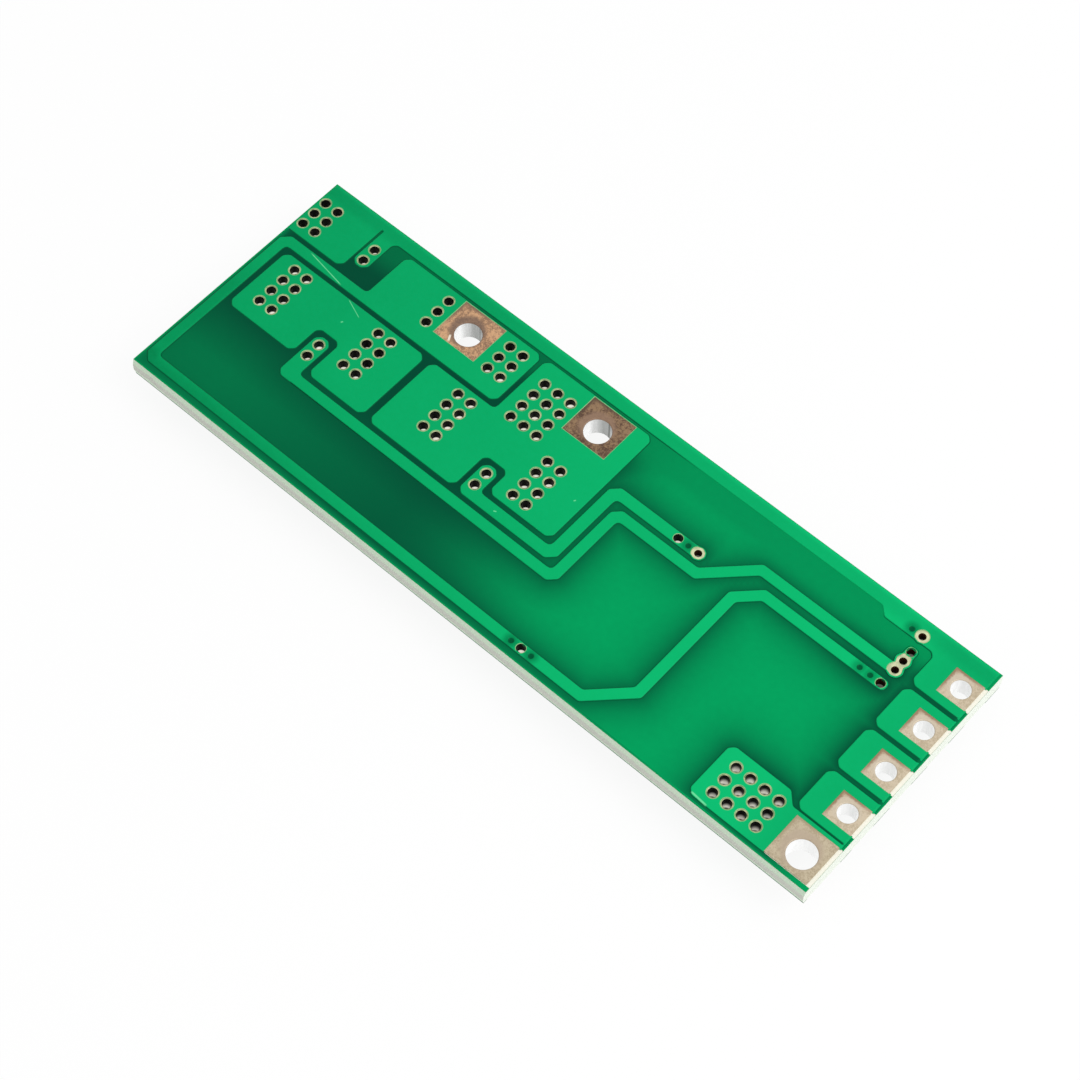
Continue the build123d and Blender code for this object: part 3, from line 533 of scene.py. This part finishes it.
def copper_sheet(node, colours=None, pad_size=None, shift=(0.0, 0.0), fleck=None):
    """One net: its flat face between the outlines, its etched edge, its plated bores."""
    outlines = loops_at(node, COPPER_LEVEL)
    holes = [loop for loop in outlines if area(loop) < 0]
    outer = [rounded(loop) for loop in outlines if area(loop) > 0]
    wires = [loop for loop in holes if reach(loop) > 0.5]
    small = [ring(middle(loop), via_radius(middle(loop))) for loop in holes if reach(loop) <= 0.5]
    finish = gold_ring
    large = []
    for loop in wires:
        near = min(bores, key=lambda bore: np.hypot(*(middle(bore) - middle(loop))))
        hole, radius = middle(near), reach(near)
        large.append(ring(hole, radius, WIDE_ROUND))
        half = np.array(pad_size) / 2
        pad = hole + shift - half, hole + shift + half
        finish = tarnished(node + "_bare", hole, radius, pad, *colours, fleck)
    dished = [ring(loop.mean(axis=0), reach(loop) + LIP_WIDTH, len(loop)) for loop in [*small, *large]]
    plugged = [ring(at, DIP_ROOM) for at in TENTED_AT if inside(at[None], outer)[0]]
    parts = [(*fill([*outer, *dished, *plugged], COPPER_LEVEL), finish)]
    parts += [(*carried(loop, [(0, FACE_LEVEL), (0, COPPER_LEVEL)]), finish) for loop in outer]
    lip_foot = COPPER_LEVEL - LIP_DEPTH
    lip = [(0, LIP_DEPTH), (0.012, 0.035), (0.04, 0.012), (LIP_WIDTH, 0)]
    lip = [(away, COPPER_LEVEL - depth) for away, depth in lip]
    for loop in small:
        parts.append((*carried(loop, [(0, level) for level in (BLIND, 2.9, 3.3, lip_foot)]), via_wall))
        parts.append((*fill([loop[::-1]], BLIND), via_wall))
        parts.append((*carried(loop, lip[:3]), via_wall))
        parts.append((*carried(loop, lip[2:]), finish))
    for loop in large:
        parts.append((*carried(loop, [(0, level) for level in (LAND_LEVEL, 2.9, 3.5, lip_foot)]), wire_wall))
        parts.append((*carried(loop, lip), finish))
    piece(node + "_sheet", parts, "copper", node)


copper_sheet("charge_negative_copper", PEACH, *MIDDLE_PAD, fleck=(-1.2, 0.62))
copper_sheet("pack_negative_copper", RUSSET, *MIDDLE_PAD)
for tap in ("pack_positive_copper", "cell_tap_1_copper", "cell_tap_2_copper", "cell_tap_3_copper"):
    copper_sheet(tap, TAN, *TAP_PAD)
copper_sheet("battery_negative_copper", SAND, *CORNER_PAD)
for track in ("charge_drain_copper", "charge_gate_copper", "discharge_gate_copper"):
    copper_sheet(track)

# ---------------------------------------------------------------------------
# The solder mask of the solder side. Green photo-imaged ink, cured over the foil's relief: light
# green where copper backs it, dark over the laminate, with soft shoulders at every copper edge.
# Light that comes up through the board makes the wide bare fields of the right half glow.

BASE_LEVEL = 4.00
TOP_LEVEL = 4.07
# Profiles of (distance into the film, level), from the low side to the flat.
SHOULDER = [
    (-0.07, 3.999), (-0.04, 4.003), (-0.015, 4.015), (0.0, 4.035), (0.012, 4.052), (0.035, 4.065), (0.07, 4.07)
]
LIP = [(0.0, 4.041), (0.006, 4.056), (0.02, 4.066), (0.045, 4.07)]
TENTED = [(0.25, 3.985), (0.17, 3.988), (0.1, 4.0), (0.06, 4.025), (0.025, 4.055), (0.0, 4.07)]

SCRATCHES = [  # each from one end to the other, and half its width
    ((-27.1, 4.53), (-23.6, 3.93), 0.05),
    ((-22.3, 3.38), (-20.7, 2.73), 0.035),
    ((-3.1, -2.7), (-2.9, -2.6), 0.06),
    ((20.2, -9.74), (21.6, -9.86), 0.09),
    ((0.4, 1.5), (0.5, 1.65), 0.06),
    ((-21.4, 1.6), (-21.3, 1.75), 0.06),
]


def scratched(finish):
    """1 on the hairline scratches: the distance across and the place along each one's line."""
    wear_and_shade = None
    for (ax, ay), (bx, by), half_width in SCRATCHES:
        length = math.hypot(bx - ax, by - ay)
        right, up = (bx - ax) / length, (by - ay) / length
        along = (finish.x - ax) * right + (finish.y - ay) * up
        across = abs((finish.y - ay) * right - (finish.x - ax) * up)
        line = (1 - finish.step(across, 0.4 * half_width, half_width)) * (
            1 - finish.step(abs(along - length / 2), 0.4 * length, 0.52 * length))
        wear_and_shade = line if wear_and_shade is None else wear_and_shade.math("MAXIMUM", line)
    return wear_and_shade * (0.35 + 0.65 * finish.noise(0.5, 1))


ink_over_copper = Finish("ink_over_copper", Roughness=0.3, Specular_IOR_Level=0.03)
x, y, step = ink_over_copper.x, ink_over_copper.y, ink_over_copper.step
along_board = (x + 30.0) / 60.0
front_strip = 1 - step(y, -9.6, -8.2)
back_strip = step(y, 8.6, 9.4)
tap_end = step(x, 22.5, 27.0)
left_column = (1 - step(x, -29.2, -28.6)) * (1 - step(y, -2, 2))
green = (
    154 + 34 * along_board - 18 * tap_end - 26 * front_strip * (1 - along_board) ** 3 - 10 * back_strip
    + 18 * step(y, 9.8, 10.2) - 14 * left_column + 14 * (ink_over_copper.noise(7, 2) - 0.5)
)
clear_of = [step(((x - at[0]) ** 2 + (y - at[1]) ** 2) ** 0.5, 0.2, 0.8) for at in TENTED_AT]
clear = clear_of[0]
for other in clear_of[1:]:
    clear = clear.math("MINIMUM", other)
green = green - 42 * (1 - clear)
tone = ink_over_copper.mix((green - 130) / 61, paint(0, 130, 74), paint(10, 191, 113))
speckled = ink_over_copper.mix(0.1 * ink_over_copper.noise(0.3, 2), tone, paint(20, 215, 150))
# Painted shade, partly real: the ink's low parts, on the shoulders at copper edges and in the dimples of the
# plugged vias, take the dark shoulder tone. This is partly the darker ink off the copper and partly painted
# shade. The shoulder tone is lighter along part of the back strip, and the board's own edges keep the flat tone.
soft_edge = step(y, 8.4, 8.7) * step(x, 2, 6) * (1 - step(x, 22.9, 23.1))
shoulder_tone = ink_over_copper.mix(soft_edge, paint(0, 88, 54), paint(0, 148, 86))
height = step(ink_over_copper.z, 4.005, 4.066)
for beside, from_here in ((x, 29.66), (0 - x, 29.8), (abs(y), 10.05)):
    height = height.math("MAXIMUM", step(beside, from_here, from_here + 0.05))
film_tone = ink_over_copper.mix(height, shoulder_tone, speckled)
ink_over_copper.feed(
    Base_Color=ink_over_copper.mix(scratched(ink_over_copper), film_tone, paint(128, 234, 172)),
    Normal=ink_over_copper.bump(ink_over_copper.noise(0.35, 3), 0.006),
)

ink_over_board = Finish("ink_over_board", Roughness=0.3, Specular_IOR_Level=0.03)
light = ink_over_board.node("ShaderNodeAttribute", {"attribute_name": "share"}, output="Fac")
mottle = ink_over_board.noise(0.5, 3) - 0.5
ink_over_board.feed(
    Base_Color=ink_over_board.mix(light * (1 + 0.16 * mottle), paint(0, 72, 50), paint(0, 162, 93)),
    Normal=ink_over_board.bump(ink_over_board.noise(0.35, 3), 0.006),
)
ink_rim = Finish("ink_rim", Roughness=0.3, Specular_IOR_Level=0.2)
ink_rim.feed(
    Base_Color=ink_rim.mix(ink_rim.noise(0.3), paint(96, 164, 104), paint(176, 206, 152)),
    Normal=ink_rim.bump(ink_rim.noise(0.2), 0.01),
)

film_tops = loops_at("solder_mask_top", TOP_LEVEL)
RIM_PADS = {
    "cell_tap_1_copper": TAP_PAD,
    "cell_tap_2_copper": TAP_PAD,
    "cell_tap_3_copper": TAP_PAD,
    "pack_positive_copper": TAP_PAD,
    "battery_negative_copper": CORNER_PAD,
}
UNDERLAP = 0.15  # how far the ink over the laminate runs in under the pours' own


def depth_inside(points, loops):
    """Distance from each point to the nearest outline, positive inside: the foot of the
    perpendicular on every edge is kept between the edge's ends."""
    nearest = np.full(len(points), np.inf)
    for loop in loops:
        edge = np.roll(loop, -1, axis=0) - loop
        share = ((points[:, None] - loop) * edge).sum(axis=2) / (edge**2).sum(axis=1)
        foot = loop + np.clip(share, 0, 1)[..., None] * edge
        away = np.hypot(*(points[:, None] - foot).transpose(2, 0, 1))
        nearest = np.minimum(nearest, away.min(axis=1))
    return np.where(inside(points, loops), nearest, -nearest)


def glow(points, pours):
    """How freely light comes up through the board round each point, 0 to 1.

    In the left half it only fades from the front left corner towards the right and the back. In
    the right half, with little behind it, it rises from the nearest copper as
    1 - exp(-distance / 1.2). The rims are lit from the side.
    """
    free = 1 - np.exp(-np.maximum(-depth_inside(points, pours), 0) / 1.2)
    right = np.clip((points[:, 0] + 8) / 14, 0, 1)
    right = right * right * (3 - 2 * right)
    left = 0.47 - 0.25 * np.clip((points[:, 0] + 24) / 16, 0, 1)
    left = left * (1 - 0.85 * np.clip((points[:, 1] + 6.5) / 4.7, 0, 1)) - 0.05 * (1 - free)
    seen = left * (1 - right) + (0.33 + 0.65 * free) * right
    seen = seen - 0.22 * np.clip((points[:, 0] - 19) / 4, 0, 1) * (1 - free)
    back = np.clip((points[:, 1] - 5.9) / 2.3, 0, 1)
    seen = seen + back * back * (3 - 2 * back) * np.maximum(0.38 + 0.42 * right - seen, 0)
    rim = np.minimum(10.25 - abs(points[:, 1]), 30 - abs(points[:, 0]))
    seen = np.maximum(seen, 0.95 * np.exp(-np.maximum(rim, 0) / 0.25))
    dark, bright = (78 / 255) ** 2.2, (162 / 255) ** 2.2  # green of the field unlit and fully lit, as light
    return (((78 + 84 * seen) / 255) ** 2.2 - dark) / (bright - dark)


def grown(loop, amount):
    """An outline moved into its sheet by an amount, its number of points kept."""
    points, _ = carried(loop, [(amount, 0.0)])
    return points[:, :2]


windows = []
for node, ((long, wide), (right, up)) in RIM_PADS.items():
    holes = [loop for loop in loops_at(node, COPPER_LEVEL) if area(loop) < 0]
    hole = [middle(loop) for loop in holes if reach(loop) > 0.5][0]
    left, front, back = hole[0] + right - long / 2, hole[1] + up - wide / 2, hole[1] + up + wide / 2
    windows.append(np.array([[left, front], [30.0, front], [30.0, back], [left, back]]))
corners = np.vstack(windows)
pours = [rounded(loop, corners) for loop in film_tops if area(loop) > 0]
pads = [loop for loop in film_tops if area(loop) < 0 and len(loop) == 4]
merged = [rounded(loop) for loop in film_tops if area(loop) < 0 and len(loop) > 8]
TIGHT_RING, WIDE_RING = 0.34, 0.48  # radii of the round openings at plain vias and large lands


def opening(loop):
    """The film's round opening at a via: tight round the plain ones, wide at the large lands."""
    plain = np.hypot(*(PLAIN_AT - middle(loop)).T).min() < 0.2
    return ring(middle(loop), TIGHT_RING if plain else RING_LAND if len(loop) == 6 else WIDE_RING)


opened = [opening(loop) for loop in film_tops if area(loop) < 0 and len(loop) in (6, 8)]
dimples = [ring(at, TENTED[0][0]) for at in TENTED_AT]
cap = [*[grown(loop, SHOULDER[-1][0]) for loop in pours],
       *[grown(loop, LIP[-1][0]) for loop in [*pads, *merged, *opened]], *dimples]
piece(
    "ink_on_pours",
    [
        (*fill(cap, TOP_LEVEL), ink_over_copper),
        *[(*carried(loop, SHOULDER), ink_over_copper) for loop in pours],
        *[(*carried(loop, LIP), ink_rim) for loop in [*pads, *merged, *opened]],
        *[(*carried(loop, [(-away, level) for away, level in TENTED]), ink_over_copper) for loop in dimples],
    ],
    "solder_mask",
    "solder_mask_top",
)

base = [board_face, *[grown(loop, UNDERLAP) for loop in pours], *windows]
across, along = np.meshgrid(np.arange(-29.85, 29.9, 0.3), np.arange(-10.1, 10.2, 0.3), indexing="ij")
spots = np.column_stack([across.ravel(), along.ravel()])
points, faces = fill(base, BASE_LEVEL, spots[inside(spots, base)])
rim, rim_faces = carried(board_face, [(0, FACE_LEVEL), (0, BASE_LEVEL)])
piece(
    "ink_on_laminate",
    [(points, faces, ink_over_board), (rim, rim_faces, ink_over_board)],
    "solder_mask",
    "solder_mask_top",
    shares=glow(np.vstack([points, rim])[:, :2], pours),
)

# ---------------------------------------------------------------------------
# The component side. The same ink, with openings at every land, over wide source and drain
# copper. The lands in the openings are tinned, and the wire pads are bare copper.

UNDER_FILM = 2.27

ink_under = Finish("ink_under", Roughness=0.34, Specular_IOR_Level=0.3)
cover = ink_under.node("ShaderNodeAttribute", {"attribute_name": "share"}, output="Fac")
raised = ink_under.step(cover, -0.05, 0.03)
ink_under.feed(
    Base_Color=ink_under.mix(
        raised, paint(0, 96, 56), ink_under.mix(ink_under.noise(11), paint(0, 164, 88), paint(10, 186, 104))
    ),
    Normal=ink_under.bump(ink_under.step(cover, -0.1, 0.06) + 0.08 * ink_under.noise(0.35, 3), 0.05),
)

under_outlines = loops_at("solder_mask_under", UNDER_FILM)
under_relief = loops_at("solder_mask_under", LAND_LEVEL)
across, along = np.meshgrid(np.arange(-29.8, 29.85, 0.2), np.arange(-10.1, 10.2, 0.2), indexing="ij")
spots = np.column_stack([across.ravel(), along.ravel()])
points, faces = fill(under_outlines, UNDER_FILM, spots[inside(spots, under_outlines)], down=True)
walls = [carried(loop[::-1], [(0, UNDER_FILM), (0, UNDER_LEVEL)]) for loop in under_outlines]
under_parts = [(points, faces, ink_under), *[(*wall, ink_under) for wall in walls]]
piece(
    "ink_on_component_side",
    under_parts,
    "solder_mask",
    "solder_mask_under",
    shares=depth_inside(np.vstack([points for points, _, _ in under_parts])[:, :2], under_relief),
)

tinned_land = Finish("tinned_land", Roughness=0.34, Metallic=0.85)
puddle = tinned_land.noise(0.8, 3)
wire_pad_zone = tinned_land.step(tinned_land.y, 5.3, 5.35) * (1 - tinned_land.step(tinned_land.x, 5.0, 5.05))
wire_pad_zone = wire_pad_zone.math("MAXIMUM", tinned_land.step(tinned_land.x, 26.2, 26.25))
tinned_land.feed(
    Base_Color=tinned_land.mix(
        wire_pad_zone,
        tinned_land.mix(puddle, paint(196, 198, 202), paint(228, 229, 232)),
        tinned_land.mix(puddle, paint(206, 168, 140), paint(178, 128, 98)),
    ),
    Normal=tinned_land.bump(puddle, 0.03),
)
for node in ("source_bus_copper", "under_power_copper", "under_signal_copper", "under_tap_copper"):
    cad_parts[node].data.materials.clear()
    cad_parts[node].data.materials.append(tinned_land.material)

# ---------------------------------------------------------------------------
# The moulded parts: power transistors, the protection circuit and the small balance transistors.
# Black epoxy, matt from the mould with a fine grain, edges a little rounded. Tinned lead frames.

def pressed_round(finish, place, radius):
    """1 inside a small round mark, with a soft edge: the distance from its middle."""
    away = ((finish.x - place[0]) ** 2 + (finish.y - place[1]) ** 2) ** 0.5
    return 1 - finish.step(away, radius - 0.04, radius + 0.04)


mould = Finish("mould_compound_black", Roughness=0.55)
grain = mould.noise(0.12, 4)
marks = 0.0
for number in (1, 2, 3, 4):
    case_low, case_high = (np.array(corner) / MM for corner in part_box(f"mosfet_{number}_case"))
    marks = marks + pressed_round(mould, (case_low[:2] + case_high[:2]) / 2 + [0, 1.4], 0.75)
ic_low = np.array(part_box("protection_ic_case")[0]) / MM
marks = marks + pressed_round(mould, ic_low[:2] + [0.75, 0.75], 0.3)
mould.feed(
    Base_Color=mould.mix(
        marks * 0.5, mould.mix(mould.noise(2.5, 3), paint(32, 32, 34), paint(48, 48, 51)), paint(66, 66, 70)),
    Roughness=0.42 + 0.3 * grain * (1 - marks),
    Normal=mould.bump(0.6 * grain * (1 - marks) - 2.0 * marks, 0.02),
)
tin = Finish("tin_plate", Roughness=0.32, Metallic=0.9)
brushed = tin.noise(0.15, 3, stretch=(1, 8, 1))
tin.feed(
    Base_Color=tin.mix(tin.noise(0.7, 3), paint(188, 190, 194), paint(226, 227, 230)),
    Normal=tin.bump(brushed, 0.012),
)


def softened(node, finish, width):
    """A copy of a CAD solid with its doubled points merged and its edges rounded."""
    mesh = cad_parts[node].data.copy()
    mesh.name = node + "_soft"
    mesh.materials.clear()
    mesh.materials.append(finish.material)
    made = bpy.data.objects.new(node + "_soft", mesh)
    bpy.context.scene.collection.objects.link(made)
    weld = made.modifiers.new("weld", "WELD")
    weld.merge_threshold = 0.001 * MM
    bevel = made.modifiers.new("round", "BEVEL")
    bevel.width, bevel.segments, bevel.limit_method = width * MM, 3, "ANGLE"
    bevel.angle_limit = math.radians(25)
    bevel.harden_normals = True
    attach(made, "root")
    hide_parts(node)


for node in sorted(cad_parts):
    if node.startswith("mosfet") and node.endswith("case"):
        softened(node, mould, 0.12)
    elif node == "protection_ic_case" or node.startswith("balance_transistor"):
        softened(node, mould, 0.05)
    elif node.endswith(("lead_frame", "ic_leads")):
        softened(node, tin, 0.03)

# ---------------------------------------------------------------------------
# The chip parts. Resistors are white alumina with a black glazed face and tinned ends, and the
# capacitors are tan ceramic with tinned ends. Each is soldered by its two ends.

def chip_finish(name, node, end, body_low, body_high, along):
    """Ceramic between two tinned ends: the ends start a fixed distance in from the box's ends."""
    low, high = (np.array(corner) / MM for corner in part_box(node))
    finish = Finish(name, Roughness=0.4)
    place = finish.x if along == 0 else finish.y
    centre, half = (low[along] + high[along]) / 2, (high[along] - low[along]) / 2
    ends_share = finish.step(abs(place - centre), half - end - 0.02, half - end + 0.02)
    below = 1 - finish.step(finish.z, low[2] + 0.08, low[2] + 0.1)
    mottle = finish.noise(0.4, 3)
    body = finish.mix(below, body_high, body_low)
    tinned = finish.mix(mottle, paint(190, 192, 196), paint(226, 227, 230))
    finish.feed(
        Base_Color=finish.mix(ends_share, body, tinned),
        Metallic=ends_share * 0.85,
        Normal=finish.bump(mottle, 0.015),
    )
    return finish


WHITE, BLACK, BUFF = paint(232, 230, 222), paint(26, 26, 28), paint(188, 158, 120)
for node in sorted(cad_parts):
    if node.startswith("balance_resistor"):
        softened(node, chip_finish(node + "_finish", node, 0.5, BLACK, WHITE, 0), 0.03)
    elif node == "sense_resistor":
        softened(node, chip_finish(node + "_finish", node, 0.9, BLACK, WHITE, 0), 0.04)
    elif node.startswith("filter_capacitor"):
        softened(node, chip_finish(node + "_finish", node, 0.4, BUFF, BUFF, 1), 0.03)

# ---------------------------------------------------------------------------
# The solder joints. Reflowed tin that climbs each lead and chip end in a hollow slope and runs
# out thinly over its land.

solder = Finish("reflowed_solder", Roughness=0.24, Metallic=0.95)
solder.feed(
    Base_Color=solder.mix(solder.noise(0.5, 3), paint(198, 201, 206), paint(234, 235, 238)),
    Normal=solder.bump(solder.noise(0.25), 0.012),
)


def joint(foot, reach_out, climb):
    """The slope round one foot: at a share s of the way in, its height is climb times s squared."""
    shares = np.linspace(0, 1, 5)
    profile = [(-reach_out * (1 - s), LAND_LEVEL - 0.004 - climb * s**2) for s in shares]
    points, faces = carried(foot, profile)
    return points, faces[:, ::-1], solder


JOINT_SIZES = {  # how far out each kind's solder runs, and how high it climbs
    "mosfet": (0.14, 0.22), "protection": (0.06, 0.1), "balance_transistor": (0.05, 0.1),
    "balance_resistor": (0.14, 0.3), "sense": (0.14, 0.35), "filter": (0.14, 0.4),
}
joints = []
for node in sorted(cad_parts):
    named = [sizes for start, sizes in JOINT_SIZES.items() if node.startswith(start)]
    for foot in loops_at(node, LAND_LEVEL) if named and not node.endswith("case") else []:
        joints.append(joint(foot, *named[0]))
piece("solder_joints", joints, "tinned_leads")

# ---------------------------------------------------------------------------
# The covered vias. On the component side the ink runs over each via's land and dips a little
# into its mouth.

covered = Finish("covered_via", Roughness=0.3, Specular_IOR_Level=0.3)
dip = covered.node("ShaderNodeAttribute", {"attribute_name": "share"}, output="Fac")
ink = covered.mix(covered.noise(1.5), paint(20, 178, 102), paint(44, 198, 122))
covered.feed(
    Base_Color=covered.mix(dip, paint(0, 70, 44), ink),
    Normal=covered.bump(covered.noise(0.2), 0.004),
)
MOUND_SIDES = 10
# The mound's (distance out, level, share of the ink's light tone), from its foot to its dip.
MOUND = [(-0.40, 2.268, 0.5), (-0.36, 2.256, 1.0), (-0.26, 2.252, 1.0), (-0.17, 2.260, 0.3), (-0.09, 2.265, 0.0)]
mounds, cover = [], []
for bore in bores:
    at = middle(bore)
    open_land = not inside(at[None], under_outlines)[0] or depth_inside(at[None], under_outlines)[0] < 0.42
    if len(bore) >= FEW_SIDES or open_land:
        continue
    profile = [(away, level) for away, level, _ in MOUND]
    points, faces = carried(ring(at, 0.01, MOUND_SIDES, hole=False), profile)
    mounds.append((points, faces[:, ::-1], covered))
    mounds.append((*fill([points[-MOUND_SIDES:, :2]], MOUND[-1][1], down=True), covered))
    cover.append(np.repeat([*[share for _, _, share in MOUND], 0.0], MOUND_SIDES))
piece("covered_vias", mounds, "solder_mask", shares=np.concatenate(cover))

# ---------------------------------------------------------------------------
# The table, the light and the camera. A white sheet under the board, an even white sky and one
# broad soft lamp behind it to the left.

floor_mesh = bpy.data.meshes.new("table")
floor_mesh.from_pydata([(-3, -3, 0), (3, -3, 0), (3, 3, 0), (-3, 3, 0)], [], [(0, 1, 2, 3)])
table = bpy.data.objects.new("table", floor_mesh)
bpy.context.scene.collection.objects.link(table)
paper = Finish("white_paper", Roughness=0.9)
paper.feed(Base_Color=paper.mix(paper.noise(40), paint(250, 250, 250), paint(255, 255, 255)))
rays = paper.node("ShaderNodeLightPath", output="Is Camera Ray")
seen = rays.math("MAXIMUM", paper.node("ShaderNodeLightPath", output="Is Glossy Ray"))
seen = seen.math("MAXIMUM", paper.node("ShaderNodeLightPath", output="Is Transmission Ray"))
white = paper.node("ShaderNodeEmission", sockets={"Color": (1, 1, 1, 1), "Strength": 1.0})
lit_paper = Value(paper.tree, paper.shader.outputs[0])
surface = paper.node("ShaderNodeMixShader", sockets={0: seen * 0.9, 1: lit_paper, 2: white})
paper.tree.links.new(surface.socket, paper.tree.nodes["Material Output"].inputs["Surface"])
floor_mesh.materials.append(paper.material)

world = bpy.data.worlds.new("sky")
bpy.context.scene.world = world
world.use_nodes = True
sky = world.node_tree.nodes["Background"]
sky.inputs["Color"].default_value = (1, 1, 1, 1)
path = world.node_tree.nodes.new("ShaderNodeLightPath")
backdrop = Value(world.node_tree, path.outputs["Is Camera Ray"])
for kind in ("Is Glossy Ray", "Is Transmission Ray"):
    backdrop = backdrop.math("MAXIMUM", Value(world.node_tree, path.outputs[kind]))
world.node_tree.links.new((0.72 + 0.28 * backdrop).socket, sky.inputs["Strength"])

lamp_data = bpy.data.lights.new("soft_box", "AREA")
lamp_data.shape, lamp_data.size, lamp_data.size_y, lamp_data.energy = "RECTANGLE", 0.2, 0.2, 0.45
lamp = bpy.data.objects.new("soft_box", lamp_data)
bpy.context.scene.collection.objects.link(lamp)
lamp.location = (0.2, 0.06, 0.26)
lamp.rotation_mode = "QUATERNION"
lamp.rotation_quaternion = (-lamp.location).to_track_quat("-Z", "Y")

camera_data = bpy.data.cameras.new("camera")
camera_data.lens, camera_data.sensor_width = 92.88, 36
camera_data.clip_start, camera_data.clip_end = 0.01, 10
camera = bpy.data.objects.new("camera", camera_data)
bpy.context.scene.collection.objects.link(camera)
camera.location = Vector((62.287, -73.932, 164.904)) * MM
aim = Vector((0.724, -2.269, 4.0)) * MM
camera.rotation_mode = "QUATERNION"
look = (aim - camera.location).to_track_quat("-Z", "Y")
camera.rotation_quaternion = look @ Quaternion((0, 0, 1), math.radians(1.093))
bpy.context.scene.camera = camera
bpy.context.scene.view_settings.view_transform = "Standard"
